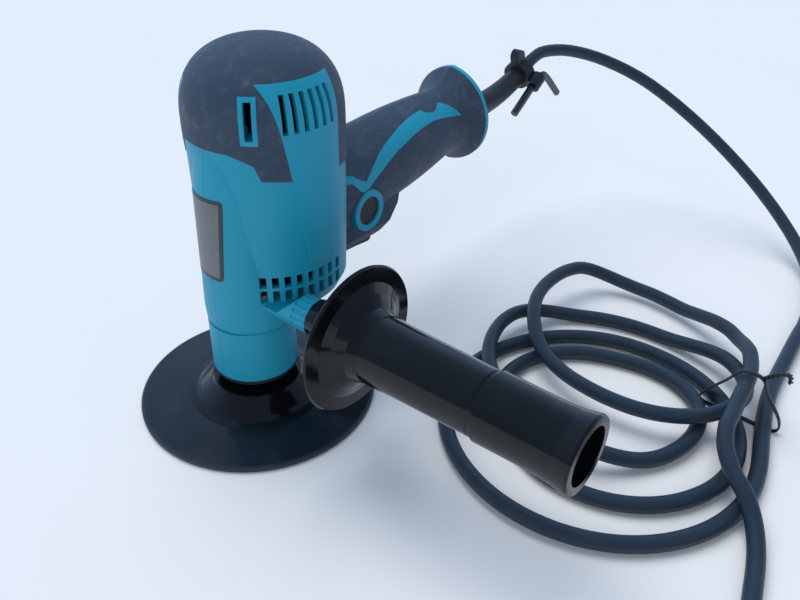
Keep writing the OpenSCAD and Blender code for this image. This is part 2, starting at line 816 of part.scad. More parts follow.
// Drive line
function involute(a) = tan(a) * 180 / PI - a;
function tooth_points(teeth, shift, tip) =
  let (rp = gear_m * teeth / 2, rb = rp * cos(pressure_a), rf = rp - gear_m * (1.25 - shift),
       r0 = max(rb, rf),
       ht = (90 + 2 * shift * tan(pressure_a) * 180 / PI) / teeth - backlash / 4 / rp * 180 / PI,
       flank = [for (i = [0:flank_steps]) let (r = r0 + (tip - r0) * i / flank_steps)
                [r, ht + involute(pressure_a) - involute(acos(min(1, rb / r)))]])
  [for (t = [0:teeth - 1]) let (c = 360 * t / teeth)
   for (p = concat([[rf, -flank[0][1] * 1.05]], [for (f = flank) [f[0], -f[1]]],
                   [for (i = [flank_steps:-1:0]) flank[i]], [[rf, flank[0][1] * 1.05]]))
   [p[0] * cos(c + p[1]), p[0] * sin(c + p[1])]];

module spindle_gear() {
  color("gainsboro") raised() difference() {
    union() {
      translate([0, 0, gear_z]) linear_extrude(height = gear_h)
        polygon(tooth_points(gear_teeth, -tooth_shift, gear_tip_r));
      translate([0, 0, gear_z + gear_h - lap]) cylinder(r = spindle_r + 2.4, h = 0.9 + lap);
    }
    translate([0, 0, gear_z - lap]) cylinder(r = spindle_r + fit_gap / 2, h = gear_h + 2);
    for (i = [0:5]) rotate([0, 0, 60 * i + 30]) translate([11.4, 0, gear_z + gear_h - 1.6])
      cylinder(r = 2, h = 2);
  }
}

module spindle() {
  color("silver") raised() difference() {
    union() {
      translate([0, 0, nose_base - pad_gap]) cylinder(r = collar_r, h = bearing_z - nose_base + pad_gap);
      translate([0, 0, nose_base - pad_gap - 2]) cylinder(r = 6, h = 4);
      translate([0, 0, bearing_z - lap]) cylinder(r = spindle_r, h = gear_z + gear_h - bearing_z + lap);
      translate([0, 0, gear_z + gear_h - lap]) cylinder(r = spindle_top_r, h = cover_z +
        bush_h - gear_z - gear_h);
      translate([0, 0, bearing_z + bearing_h + 2]) cylinder(r = spindle_r + 1.6,
        h = gear_z - bearing_z - bearing_h - 2);
    }
    translate([0, 0, nose_base - pad_gap - 3]) cylinder(r = stud_r, h = 20);
  }
}

module ball_bearing(r1, r0, h) {
  difference() {
    cylinder(r = r1, h = h);
    translate([0, 0, -lap]) cylinder(r = r0 + run_gap, h = h + 2 * lap);
    for (z = [-lap, h - 0.5]) translate([0, 0, z]) ring(r1 - (r1 - r0) * 0.24, r0 + (r1 - r0) * 0.24,
      0.5 + lap);
  }
}

module spindle_bearing() {
  color("silver") raised() translate([0, 0, bearing_z]) ball_bearing(bearing_r, spindle_r, bearing_h);
}

module spindle_bush() {
  color("peru") raised() translate([0, 0, cover_z]) ring(bush_r, spindle_top_r + run_gap, bush_h);
}

module motor_bearing_low() {
  color("silver") raised() on_motor(cover_z + 2) ball_bearing(low_bearing_r, shaft_r, cover_h - 2);
}

module motor_bearing_top() {
  color("silver") raised() on_motor(top_bearing_z) ball_bearing(top_bearing_r, top_shaft_r, top_bearing_h);
}

module armature_shaft() {
  color("silver") raised() on_motor(0) {
    translate([0, 0, gear_z - 0.2]) rotate([0, 0, 180 + 180 / pinion_teeth])
      linear_extrude(height = gear_h + 1.1)
      polygon(tooth_points(pinion_teeth, tooth_shift, pinion_tip_r));
    translate([0, 0, gear_z + gear_h + 0.5]) cylinder(r = shaft_r,
      h = top_bearing_z - 1.5 - gear_z - gear_h);
    translate([0, 0, top_bearing_z - 1 - lap]) cylinder(r = top_shaft_r, h = top_bearing_h + 1.4 + lap);
  }
}

module armature_core() {
  color("slategray") raised() on_motor(core_z) difference() {
    cylinder(r = core_r, h = core_h);
    translate([0, 0, -lap]) cylinder(r = shaft_r + fit_gap / 2, h = core_h + 2 * lap);
    for (i = [0:slot_n - 1]) rotate([0, 0, 360 * i / slot_n]) {
      translate([slot_ring_r, 0, -lap]) cylinder(r = slot_r, h = core_h + 2 * lap, $fn = 32);
      translate([slot_ring_r, -0.8, -lap]) cube([core_r, 1.6, core_h + 2 * lap]);
    }
  }
}

module armature_winding() {
  color("chocolate") raised() on_motor(0) {
    for (z = [core_z - head_h, core_z + core_h]) translate([0, 0, z]) rotate_extrude() polygon([
      [shaft_r + 1.2, 0], [head_r - 1.6, 0], [head_r, 1.8], [head_r, head_h - 1.8], [head_r - 1.6, head_h],
      [shaft_r + 1.2, head_h]]);
    for (i = [0:slot_n - 1]) rotate([0, 0, 360 * i / slot_n]) translate([slot_ring_r, 0, core_z - lap])
      cylinder(r = slot_r - fit_gap, h = core_h + 2 * lap, $fn = 32);
  }
}

module commutator() {
  color("peru") raised() on_motor(commutator_z) difference() {
    union() {
      cylinder(r = commutator_r, h = commutator_h);
      cylinder(r = commutator_r + 1.4, h = 2);
    }
    translate([0, 0, -lap]) cylinder(r = shaft_r + fit_gap / 2, h = commutator_h + 2 * lap);
    for (i = [0:segment_n - 1]) rotate([0, 0, 360 * i / segment_n]) translate([commutator_r - 0.7,
      -0.25, -lap])
      cube([3, 0.5, commutator_h + 2 * lap]);
  }
}

module fan() {
  color("black") raised() on_motor(fan_z) difference() {
    union() {
      cylinder(r = fan_r, h = 1.6);
      cylinder(r = fan_hub_r, h = fan_h);
      for (i = [0:fan_n - 1]) rotate([0, 0, 360 * i / fan_n]) translate([fan_hub_r - 1, -blade_t / 2, 0])
        cube([fan_r - fan_hub_r, blade_t, fan_h]);
    }
    translate([0, 0, -lap]) cylinder(r = shaft_r + fit_gap / 2, h = fan_h + 2 * lap);
  }
}

module baffle() {
  color("black") raised() on_motor(baffle_z) ring(shell_r - 1.5, baffle_in_r, baffle_t);
}

module field_core() {
  color("slategray") raised() on_motor(core_z) linear_extrude(height = core_h) difference() {
    union() {
      difference() {
        circle(r = field_out_r);
        circle(r = yoke_in_r);
      }
      intersection() {
        circle(r = field_out_r);
        square([2 * field_out_r, 2 * pole_hw], center = true);
      }
      intersection() {
        circle(r = field_in_r + shoe_t);
        square([2 * field_out_r, 2 * pole_hw + 8], center = true);
      }
    }
    circle(r = field_in_r);
  }
}

module field_coils() {
  color("chocolate") raised() on_motor(core_z) for (s = [-1, 1]) difference() {
    translate([s > 0 ? coil_x : -coil_x - coil_t, -coil_hw, -coil_head])
      cube([coil_t, 2 * coil_hw, core_h + 2 * coil_head]);
    translate([s > 0 ? coil_x - lap : -coil_x - coil_t - lap, -pole_hw - fit_gap, -fit_gap])
      cube([coil_t + 2 * lap, 2 * (pole_hw + fit_gap), core_h + 2 * fit_gap]);
    translate([0, 0, -coil_head - lap])
      cylinder(r = field_in_r + shoe_t + fit_gap, h = core_h + 2 * coil_head + 2 * lap);
  }
}

module brush_holders() {
  color("goldenrod") raised() for (side = [-1, 1]) translate([motor_x, 0, brush_z]) rotate([0, 0, side *
    90])
    difference() {
      translate([commutator_r + 1.8, -brush_w / 2 - holder_t, -brush_h / 2 - holder_t])
        cube([holder_out - commutator_r - 1.8, brush_w + 2 * holder_t, brush_h + 2 * holder_t]);
      translate([commutator_r, -brush_w / 2 - fit_gap, -brush_h / 2 - fit_gap])
        cube([holder_out - commutator_r - holder_t, brush_w + 2 * fit_gap, brush_h + 2 * fit_gap]);
    }
}

module brushes() {
  color("dimgray") raised() for (side = [-1, 1]) translate([motor_x, 0, brush_z]) rotate([0, 0, side * 90])
    difference() {
      translate([commutator_r - 1, -brush_w / 2, -brush_h / 2])
        cube([holder_out - holder_t - commutator_r + 1 - fit_gap, brush_w, brush_h]);
      translate([0, 0, -brush_h]) cylinder(r = commutator_r + 0.3, h = 2 * brush_h);
    }
}

// Switch gear
module switch_body() {
  color("black") raised() difference() {
    translate([switch_x0, -switch_hw, switch_z0]) cube([switch_l, 2 * switch_hw, switch_h]);
    translate([plunger_x, 0, switch_z0 - lap]) cylinder(r = plunger_r + slide_gap, h = 10);
    for (y = [-1, 1]) translate([switch_x0 + switch_l - 2, y * switch_hw / 2, switch_z0 + switch_h / 2])
      rotate([0, 90, 0]) cylinder(r = 1.6, h = 4);
  }
}

module trigger() {
  color("black") raised() {
    rotate([90, 0, 0]) translate([0, 0, -trigger_w / 2]) linear_extrude(height = trigger_w)
      polygon([[trigger_x, trigger_flange_z + lap], [trigger_x, trigger_bottom + 2],
               [trigger_x + trigger_l * 0.45, trigger_bottom + 1.2], [trigger_x + trigger_l - 2,
                 trigger_bottom],
               [trigger_x + trigger_l, trigger_bottom + 1], [trigger_x + trigger_l, trigger_flange_z +
                 lap]]);
    translate([trigger_x - trigger_lip, -trigger_w / 2 - trigger_lip, trigger_flange_z])
      cube([trigger_l + 2 * trigger_lip, trigger_w + 2 * trigger_lip, trigger_flange_t]);
    translate([plunger_x, 0, trigger_flange_z + lap]) cylinder(r = plunger_r, h = switch_z0 +
      1.6 - trigger_flange_z);
  }
}

// A helical spring along +Z: mean radius, wire, length, turns
module helix(r, wire, l, turns) {
  n = turns * 24;
  tube([for (i = [0:n]) [r * cos(15 * i), r * sin(15 * i), wire / 2 + (l - wire) * i / n]],
       [for (i = [0:n]) wire / 2], 6);
}

module trigger_spring() {
  z0 = trigger_flange_z + trigger_flange_t + fit_gap;
  color("silver") raised() translate([plunger_x, 0, z0]) helix(plunger_r + 1.1, spring_wire,
    switch_z0 - z0 - fit_gap, 5);
}

module lock_button() {
  color("black") raised() translate([lock_x, 0, lock_z]) {
    across(-1, lock_flange_y - lap) cylinder(r = lock_r, h = lock_face - lock_in - lock_flange_y + lap);
    across(-1, lock_flange_y - lock_flange_t) cylinder(r = lock_flange_r, h = lock_flange_t);
    across(-1, lock_stem_end) cylinder(r = lock_stem_r, h = lock_flange_y - lock_stem_end - lap);
  }
}

module lock_spring() {
  color("silver") raised() translate([lock_x, -fit_gap, lock_z]) rotate([90, 0, 0])
    helix(lock_stem_r + 1.1, spring_wire, lock_flange_y - lock_flange_t - 2 * fit_gap, 5);
}

module housing_screws() {
  color("silver") raised() for (p = screws) translate([p[0], screw_seat, p[1]]) rotate([90, 0, 0]) {
    cylinder(r = screw_r, h = screw_seat - screw_end);
    difference() {
      translate([0, 0, -screw_head_h]) cylinder(r = screw_head_r, h = screw_head_h + 0.01);
      for (a = [0, 90]) rotate([0, 0, a]) translate([-2, -0.4, -screw_head_h - lap]) cube([4, 0.8, 1.2 +
        lap]);
    }
  }
}

// Pad
module pad() {
  color("black") rotate_extrude() polygon([[pad_recess_r, 0], [pad_r - 0.6, 0], [pad_r, 0.8], [pad_r,
    pad_rim_t - 0.5],
    [pad_r - 0.8, pad_rim_t], [hub_foot_r + 12, pad_mid_t - 0.3], [hub_foot_r, pad_mid_t],
      [pad_recess_r, pad_mid_t]]);
}

module pad_hub() {
  color("black") difference() {
    rotate_extrude() polygon([[0, pad_mid_t], [hub_foot_r + 6, pad_mid_t], [hub_foot_r + 2.4,
      pad_mid_t + 0.7],
      [hub_foot_r, pad_mid_t + 2.2], [hub_top_r + 1.2, hub_top_z - 1.6], [hub_top_r, hub_top_z], [0,
        hub_top_z]]);
    cylinder(r = pad_recess_r, h = pad_mid_t + 1.4);
    cylinder(r = 7.7, h = hub_top_z - 3);
    cylinder(r = stud_r + 0.3, h = hub_top_z);
    translate([0, 0, hub_top_z - 2 - fit_gap]) cylinder(r = 6 + fit_gap, h = 3);
  }
}

module pad_washer() {
  color("silver") translate([0, 0, hub_top_z - 3 - 1.2]) ring(7.5, stud_r + 0.2, 1.2);
}

module pad_bolt() {
  color("dimgray") difference() {
    union() {
      translate([0, 0, hub_top_z - 3 - 1.2 - 3.6]) cylinder(r = 6.5, h = 3.6);
      translate([0, 0, hub_top_z - 3 - 1.2 - lap]) cylinder(r = stud_r - fit_gap, h = 20);
    }
    translate([0, 0, hub_top_z - 8.4]) cylinder(r = 2.9, h = 2.8 + lap, $fn = 6);
  }
}

// Side handle, drawn along its axis from the spindle outwards
module side_grip() {
  color("black") raised() translate([0, 0, side_z]) across(-1, 0) difference() {
    rotate_extrude() polygon([[0, socket_end], [side_neck_r, socket_end], [side_neck_r + 1, guard_y - 12.6],
      [side_neck_r + 3.4, guard_y - 6.6], [guard_foot_r, guard_y - 2.4], [guard_r - 6, guard_y - 0.4],
      [guard_r, guard_y], [guard_r + 0.3, guard_y + 1], [guard_r - 0.4, guard_y + 2],
      [guard_r - 7, guard_y + 2.6], [guard_back_r, guard_y + 4.8], [side_grip_r + 2.4, guard_y + 8.4],
      [side_grip_r + 0.8, guard_y + 13.4], [side_grip_r + 0.2, guard_y + 29.4],
      [side_grip_r - 0.5, joint_y], [side_grip_r - 1.2, joint_y + 1],
      [side_grip_r - 1.2, joint_y + joint_l - 0.6], [side_grip_r + 0.4, joint_y + joint_l],
      [side_grip_r, side_tip - tip_neck], [side_grip_r + 0.5, side_tip - 8],
      [side_lip_r, side_tip - 1.2], [side_lip_r - 0.6, side_tip], [0, side_tip]]);
    translate([0, 0, side_tip - tip_hole_l]) cylinder(r1 = tip_hole_r - 1.4, r2 = tip_hole_r + 0.6,
      h = tip_hole_l + 0.01);
    translate([0, 0, socket_end - lap]) cylinder(r = stud_r, h = socket_start + stud_l - socket_end +
      2 * lap);
  }
}

module side_stud() {
  color("silver") raised() translate([0, 0, side_z]) across(-1, socket_start)
    cylinder(r = stud_r - fit_gap, h = stud_l);
}

// Cord
lead_line = smooth(concat([for (p = guard_route) p + [0, 0, lift]],
                          [for (i = [0:len(lead_route) - 1])
                           lead_route[i] + [0, 0, lift * max(0, 1 - i / (len(lead_route) - 3))]]),
                             route_steps);

// a hollow tube: outer radii r1, one bore radius r0
module pipe(c, r1, r0, n) {
  m = len(c);
  points = [for (w = [0, 1]) for (i = [0:m - 1])
            let (t = tangent(c, i), u = side_of(t), v = cross(t, u), r = w == 0 ? r1[i] : r0)
            for (k = [0:n - 1]) c[i] + r * (cos(360 * k / n) * u + sin(360 * k / n) * v)];
  o = m * n;
  e = (m - 1) * n;
  faces = concat([for (i = [0:m - 2]) for (k = [0:n - 1])
                  [i * n + k, i * n + (k + 1) % n, (i + 1) * n + (k + 1) % n, (i + 1) * n + k]],
                 [for (i = [0:m - 2]) for (k = [0:n - 1])
                  [o + (i + 1) * n + k, o + (i + 1) * n + (k + 1) % n, o + i * n + (k + 1) % n, o + i *
                    n + k]],
                 [for (k = [0:n - 1]) [k, o + k, o + (k + 1) % n, (k + 1) % n]],
                 [for (k = [0:n - 1]) [e + (k + 1) % n, o + e + (k + 1) % n, o + e + k, e + k]]);
  polyhedron(points = points, faces = faces, convexity = 10);
}

module cord_guard() {
  last = route_steps * (len(guard_route) - 1);
  foot = [for (x = [0, guard_flange_t, guard_flange_t + lap]) [guard_flange_x + x, 0, guard_z + lift]];
  line = concat(foot, [for (i = [guard_start:last]) lead_line[i]]);
  n = len(line) - len(foot);
  color("black") pipe(line, concat([guard_flange_r, guard_flange_r, guard_r0],
    [for (i = [1:n]) guard_r0 + (guard_r1 - guard_r0) * i / n]), cord_r + bore_gap, 16);
}

module cord_lead() {
  color("black") tube(lead_line, [for (p = lead_line) cord_r], cord_sides);
}

function turned(a) = [cos(a), sin(a), 0];
function ease(u) = let (v = max(0, min(1, u))) v * v * (3 - 2 * v);
function total(v, i = 0) = i < len(v) ? v[i] + total(v, i + 1) : 0;
// value k of the loops' data, mixed across each passage of the tie
function loop_value(t, k) = loops[0][k] + total([for (i = [1:len(loops) - 1])
  (loops[i][k] - loops[i - 1][k]) * ease((t - i + loop_mix) / (2 * loop_mix))]);
function keyed(v, t, i = 0) = t <= v[i + 1][0] || i + 2 == len(v) ?
  v[i][1] + (v[i + 1][1] - v[i][1]) * ease((t - v[i][0]) / (v[i + 1][0] - v[i][0])) : keyed(v, t, i + 1);
function tie_near(t) = tie_lift * ease(1 - abs(t - round(t)) / 0.16);
// centre line of the tied loops after t turns: every loop leaves the tie and comes back to it
function loop_at(t) =
  let (a = loop_value(t, 0), r = loop_value(t, 1), q = t - floor(t) > 0.5 ? loops[floor(t)][2] : 1)
  tie_at + keyed(shifts, t) * tie_off + r * ((1 - cos(360 * t)) * turned(a) + q * sin(360 * t) *
    turned(a + 90)) +
  [0, 0, cord_r + level * keyed(rises, t) + (t > 0.5 ? tie_near(t) : 0)];
function entry_lift(x) = tie_lift * ease(1 - abs(x - tie_at[0]) / 46);
loop_count = ceil((loop_end - loop_start) * loop_rings);
coil_line = concat([for (p = coil_entry) [p[0], p[1], cord_r + entry_lift(p[0])]],
                   [for (i = [0:loop_count]) let (p = loop_at(loop_start + (loop_end - loop_start) *
                     i / loop_count))
                    i > 4 ? p : [p[0], p[1], cord_r + entry_lift(p[0])]]);
coil_last = len(coil_line) - 1;
// least clear space between lengths of the line that lie ten rings or more apart
function reach(p, a, b) = let (d = b - a, u = max(0, min(1, (p - a) * d / (d * d)))) norm(p - a - u * d);
coil_gap = min([for (i = [0:coil_last - 10]) for (j = [i + 10:coil_last])
                min(reach(coil_line[i], coil_line[j - 1], coil_line[j]),
                    reach(coil_line[j], coil_line[i], coil_line[i + 1]))]) - cord_d;
echo(coil_gap = coil_gap, coil_rings = len(coil_line));
tail_line = let (e = coil_line[coil_last], d = unit(e - coil_line[coil_last - 1]))
  concat([e], smooth(concat([e + cord_d * d], tail_route), route_steps));

module cord_coil() {
  color("black") tube(coil_line, [for (p = coil_line) cord_r], cord_sides);
}

module cord_tail() {
  color("black") tube(tail_line, [for (p = tail_line) cord_r], cord_sides);
}

module cord_tie() {
  color("lightgray") translate([tie_x, 0, 0]) rotate([90, 0, 90]) linear_extrude(height = tie_w)
    difference() {
    polygon(tie_out);
    polygon(tie_in);
  }
}

module at_plug() {
  translate([tail_route[len(tail_route) - 1][0], tail_route[len(tail_route) - 1][1], plug_z]) rotate([0,
    0, plug_a])
    children();
}

module plug_body() {
  color("black") at_plug() {
    rotate([0, 90, 0]) cylinder(r1 = cord_r + 1.2, r2 = cord_r + 3, h = 16);
    intersection() {
      translate([15, 0, -plug_z]) linear_extrude(height = 2 * plug_z) polygon([[0, -7], [4,
        -plug_w / 2 + 2],
        [plug_l - 22, -plug_w / 2], [plug_l - 15, -plug_w / 2], [plug_l - 15, plug_w / 2], [plug_l - 22,
          plug_w / 2],
        [4, plug_w / 2 - 2], [0, 7]]);
      rotate([90, 0, 0]) linear_extrude(height = plug_w + lap, center = true) polygon([[14, -plug_z + 3],
        [18, -plug_z], [plug_l - 2, -plug_z], [plug_l, -plug_z + 1], [plug_l, plug_z - 1], [plug_l - 2,
          plug_z],
        [18, plug_z], [14, plug_z - 3]]);
    }
  }
}

module plug_blades() {
  color("silver") at_plug() for (y = [-6.35, 6.35]) translate([plug_l, y - 0.8, -3.2]) difference() {
    cube([blade_l, 1.6, 6.4]);
    translate([blade_l - 4.5, -lap, 3.2]) rotate([-90, 0, 0]) cylinder(r = 1.6, h = 1.6 + 2 * lap);
  }
}

// Key
module key_holder() {
  color("black") raised() difference() {
    union() {
      translate(holder_at) rotate([0, 90 - holder_a, 0]) translate([0, 0, -4]) cylinder(r = guard_r1 +
        3.2, h = 8);
      translate(holder_at) rotate([0, -holder_a, 0]) translate([-4, -3, guard_r1]) cube([8, 6, 7]);
      translate(holder_at) rotate([90, -holder_a, 0]) translate([0, guard_r1 + 7, -3]) cylinder(r = 4,
        h = 6);
      translate([key_route[2][0], key_y, key_route[2][2]]) rotate([0, 90 - key_a, 0]) translate([0, 0,
        -4.5])
        cylinder(r = key_r + 2.4, h = 9);
    }
    translate(holder_at) rotate([0, 90 - holder_a, 0]) translate([0, 0, -8]) cylinder(r = guard_r1 +
      0.42, h = 16);
    translate([key_route[2][0], key_y, key_route[2][2]]) rotate([0, 90 - key_a, 0]) translate([0, 0, -9])
      cylinder(r = key_r + 0.3, h = 18);
  }
}

module hex_key() {
  color("dimgray") raised() tube(key_route, [for (p = key_route) key_r], 6);
}

housing_left();
housing_right();
cap_left();
cap_right();
grip_left();
grip_right();
nose_ring();
housing_screws();
gear_case();
gear_cover();
gear_screws();
spindle();
spindle_gear();
spindle_bearing();
spindle_bush();
armature_shaft();
armature_core();
armature_winding();
commutator();
fan();
field_core();
field_coils();
motor_bearing_low();
motor_bearing_top();
baffle();
brush_holders();
brushes();
switch_body();
trigger();
trigger_spring();
lock_button();
lock_spring();
pad();
pad_hub();
pad_washer();
pad_bolt();
side_grip();
side_stud();
cord_guard();
cord_lead();
cord_coil();
cord_tail();
cord_tie();
plug_body();
plug_blades();
key_holder();
hex_key();
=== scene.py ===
"""Finishes, cord and studio stage of an upright rotary polisher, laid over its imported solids."""

import bpy
import numpy as np
from mathutils import Matrix


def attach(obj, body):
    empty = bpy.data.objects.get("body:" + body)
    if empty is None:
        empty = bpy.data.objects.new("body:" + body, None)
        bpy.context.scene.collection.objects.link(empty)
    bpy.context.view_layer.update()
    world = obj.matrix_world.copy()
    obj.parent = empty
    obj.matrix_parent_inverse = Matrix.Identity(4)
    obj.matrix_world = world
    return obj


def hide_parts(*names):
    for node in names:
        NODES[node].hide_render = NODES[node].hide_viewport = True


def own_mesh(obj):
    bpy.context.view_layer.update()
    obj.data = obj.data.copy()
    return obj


bl_info = {
    "name": "Rotary polisher dressing",
    "version": (1, 0, 0),
    "blender": (4, 5, 0),
    "location": "View3D > Sidebar > Polisher",
    "description": "Gives the solids of an upright polisher their finishes, cord and stage",
    "category": "Object",
}

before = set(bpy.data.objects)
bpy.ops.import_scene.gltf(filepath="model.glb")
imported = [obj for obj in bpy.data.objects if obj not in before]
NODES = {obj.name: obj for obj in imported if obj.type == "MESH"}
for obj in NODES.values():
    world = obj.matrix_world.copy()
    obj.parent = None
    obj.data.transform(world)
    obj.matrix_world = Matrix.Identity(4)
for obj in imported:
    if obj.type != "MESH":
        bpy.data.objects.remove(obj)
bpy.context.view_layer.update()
MM = 0.001
UP = np.array([0.0, 0.0, 1.0])
ACROSS = np.array([0.0, 1.0, 0.0])

# Routes of the cord and the pieces on it, in millimetres, as the solids have them
CORD_R = 3.9
GUARD_ROUTE = [[152, 0, 99.3], [159, 0, 99.3], [170, 0, 99.4], [184, 0, 99.6], [198, 0, 100],
               [212, 0, 101.2], [226, 0, 103.6], [239, 0, 107.2], [250, 0, 111.2]]
LEAD_ROUTE = [[260, 0, 114.8], [272, -2, 117], [292, -11, 114.5], [313, -29, 106], [330, -57, 91],
              [338, -97, 67], [335, -139, 41], [320, -175, 19], [293, -199, 7], [264, -207.8, CORD_R],
              [240.8, -210.8, CORD_R]]
COIL_ENTRY = [[233, -211], [225.2, -211.2], [214, -211.6], [200, -212.3], [185, -213], [170, -214],
              [155, -216], [140, -219], [126, -222.5], [115, -225.6]]
TAIL_ROUTE = [[92, -213, 20.5], [83, -220, 17], [76.5, -229, 13.4], [68, -237, 8], [54, -243.6, 4.2],
              [32, -249, CORD_R], [8, -255, CORD_R], [-17, -263, 6], [-41, -272, 9], [-49, -275, 9]]
TIE_AT = np.array([139.0, -211.0, 0.0])
TIE_OFF = np.array([0.65, -0.75, 0.0])
TIE_LIFT = 1.6
# Each loop: direction from the tie to its far end, half its length, how far its way back is drawn in
LOOPS = np.array([[131, 77, 0.9], [129, 58, 0.9], [98, 65, 0.76], [65, 66, 0.6], [122, 90, 1]], float)
# Against the turns: how far the loops pass beside each other at the tie, and their level on the pile
SHIFTS = [[0, 0], [0.66, 0], [1, -8.9], [1.42, -8.9], [1.86, -25], [2.06, -25], [2.4, -8], [3, -6], [5, -6]]
RISES = [[0, 0], [2.1, 0], [2.22, 1], [2.54, 1], [2.68, 0], [2.78, 0], [2.9, 1.05], [3.26, 1.05],
         [3.38, 1.9], [3.46, 1.9], [3.64, 0.4], [3.7, 0.4], [3.81, 1.5], [3.89, 2.15], [5, 2.15]]
LEVEL = 8.4
LOOP_MIX = 0.2
LOOP_SPAN = (0.08, 4.05)
LOOP_RINGS = 143
# Where the line lifts at the tie: share of a turn, reach on the way in, and the rings still on the way in
LIFT_SHARE, ENTRY_REACH, ENTRY_RINGS = 0.16, 46, 5
TIE_LOOP = [[-224.4, 0.75], [-208, 0.75], [-188.6, 0.75], [-187.3, 6.1], [-197, 20.2], [-202.6, 28.6],
            [-212.4, 28.6], [-217.2, 20.3], [-225.7, 8.2]]
# The tie's band and its twisted end of two wires, and the room that the band leaves over the floor
TIE_X = 140.1
TIE_HALF_WIDTH, TIE_HALF_THICK = 1.5, 0.6
TIE_END = [[TIE_X, -213, 29], [141, -215, 30.6], [144, -218, 31.4], [149, -220.6, 30], [153, -222.4, 26.6],
           [154.4, -223.2, 22]]
TIE_END_TURNS = 4.5
TIE_WIRE_R, TIE_WIRE_OFF = 0.6, 0.7
FLOOR_GAP = 0.05
# Plug: distance from the cord, half width, half height and squareness of each section, and its finger grooves
PLUG_SECTIONS = np.array([[0, 4.1, 4.1, 2], [0.2, 5.1, 5.1, 2], [4, 5.4, 5.4, 2], [12, 6.4, 6.4, 2.2],
                          [15, 7.4, 6.9, 2.6], [18, 10, 7.8, 3.2], [22, 12, 8.6, 3.6], [27, 12.9, 8.9, 4],
                          [34, 13, 9, 4.4], [40, 12.9, 8.9, 4.6], [41.4, 12.4, 8.4, 4.6],
                          [42, 11.4, 7.4, 4.6], [42, 4, 3, 3]], float)
PLUG_HEADING = 200.6
GROOVE_SPAN, GROOVE_EASE = (19, 38), 3
GROOVE_FIRST, GROOVE_PITCH, GROOVE_DEPTH = 20, 3.2, 0.45
# Guard: where it starts, the end and radius of its hidden flange, its bore, the bead and the lip at its tip
GUARD_START, FLANGE_END, FLANGE_R, GUARD_BORE_R = 159, 163.4, 10.4, 4.4
GUARD_BEAD, GUARD_BEAD_AT, GUARD_BEAD_REACH = 0.35, 0.955, 0.03
GUARD_LIP = [0.2, 0.9]
# Springs: coil radius, length at rest and foot; turns, and how much closer the end turns lie
TRIGGER_SPRING = (3.5, 16.7, [79.0, 0.0, 70.25])
LOCK_SPRING = (4.3, 11.7, [64.5, -0.05, 88.5])
SPRING_TURNS, SPRING_SETTLE = 5, 0.06
# Points round the plug, the tie's band, the guard and thin wires, and along a spring
PLUG_SIDES, BAND_SIDES, GUARD_SIDES, WIRE_SIDES = 48, 12, 40, 8
SPRING_POINTS = 181
# Front of the shell: radii against height of the barrel about the motor axis and of the rounded front
MOTOR_X, FRONT_X = 20.5, 2.0
BARREL = [[68.5, 34.3], [110, 35.7]]
FRONT = [[52.4, 22.8], [59.4, 23.1], [68.4, 22.7], [78.4, 22.2], [100.4, 21.3], [120.4, 20.5], [133.4, 18.9]]
# The plate's middle and half sizes across and up the front, and how far its top leans to the side handle
PLATE_MID = (3.2, 100.6)
PLATE_HALF = (11.6, 20.4)
PLATE_LEAN = -1.4
# Its grid, how sharp and how deep its corners are rounded, the thickness left at its edge and its buried back
PLATE_GRID = (61, 41)
PLATE_CORNER, PLATE_DRAW = 12, (0.05, 0.03)
PLATE_EDGE, PLATE_BURIED = 0.4, 0.4
# Upper and lower edges of the handle's stripe in side view, the reach of the handle, and its lock collar
STRIPE_TOP = [[44, 114], [56.2, 109.5], [59.2, 107.2], [64.6, 104.2], [71.8, 109.1], [79.7, 113.3],
              [85.6, 115.2], [93.2, 117.3], [101.6, 119.3], [109.4, 120.4], [117.8, 121.1], [123.5, 121.2],
              [126.7, 119.3], [131.2, 118.4], [135.2, 118.7], [139.9, 120.6], [142.5, 120], [147.2, 117.6],
              [150.7, 114.8], [153.7, 111.3], [154.2, 109]]
STRIPE_FOOT = [[44, 109.5], [54.4, 106.3], [57.5, 102.6], [61.4, 99.6], [66, 100.1], [70, 102.2],
               [76.3, 104.8], [84, 107.8], [91.9, 110.2], [99.5, 111.9], [108.8, 113.8], [118.1, 114.8],
               [128.4, 115.1], [137, 114.1], [146.9, 112.2], [153.7, 111.2], [154.2, 112]]
STRIPE_BLUR = 0.00012
HANDLE_REACH = (58, 160)
LOCK_AT = (64.5, 88.5)
LOCK_COLLAR_R = 11.0
# Key: its bent route, and its chamfer: the share of the radius left at a tip, and of the end step it takes
KEY_ROUTE = [[222, -11.4, 90], [234, -11.4, 97.6], [246, -11.4, 105.2], [252, -11.4, 107.6],
             [257, -11.4, 106.6], [263, -11.4, 102.4], [278, -11.4, 89]]
KEY_CHAMFER, KEY_CHAMFER_RUN = 0.78, 0.04
# Camera at the photograph's angle: rows of its axes to the right, up and back, and of its place in metres
CAMERA = ((0.62484, 0.43866, -0.64587, -0.20341), (-0.78069, 0.36068, -0.51032, -0.25544),
          (0.00909, 0.82310, 0.56783, 0.27773), (0, 0, 0, 1))
SENSOR_WIDTH = 36.0
# Where the lights lie and their tint, the colours of the sky's dim and bright sides, the way to the bright
# one, how the sky brightens that way and dims overhead, and the plain backdrop behind the floor
KEY_FROM, FILL_FROM = (0.2, 0.65, 1.45), (-1.2, -0.65, 0.72)
LIGHT_TINT = (1.0, 0.97, 0.92)
SKY_DIM, SKY_BRIGHT = (0.29, 0.41, 0.58, 1.0), (0.64, 0.96, 1.5, 1.0)
SKY_TOWARD = (0.45, 0.75, 0.2)
SKY_RISE, SKY_TOP, SKY_TOP_DIMMED = (-0.2, 0.75), (0.45, 0.95), 0.7
BACKDROP = (1.0, 1.07, 1.15, 1.0)
FLOOR_LINES = 33
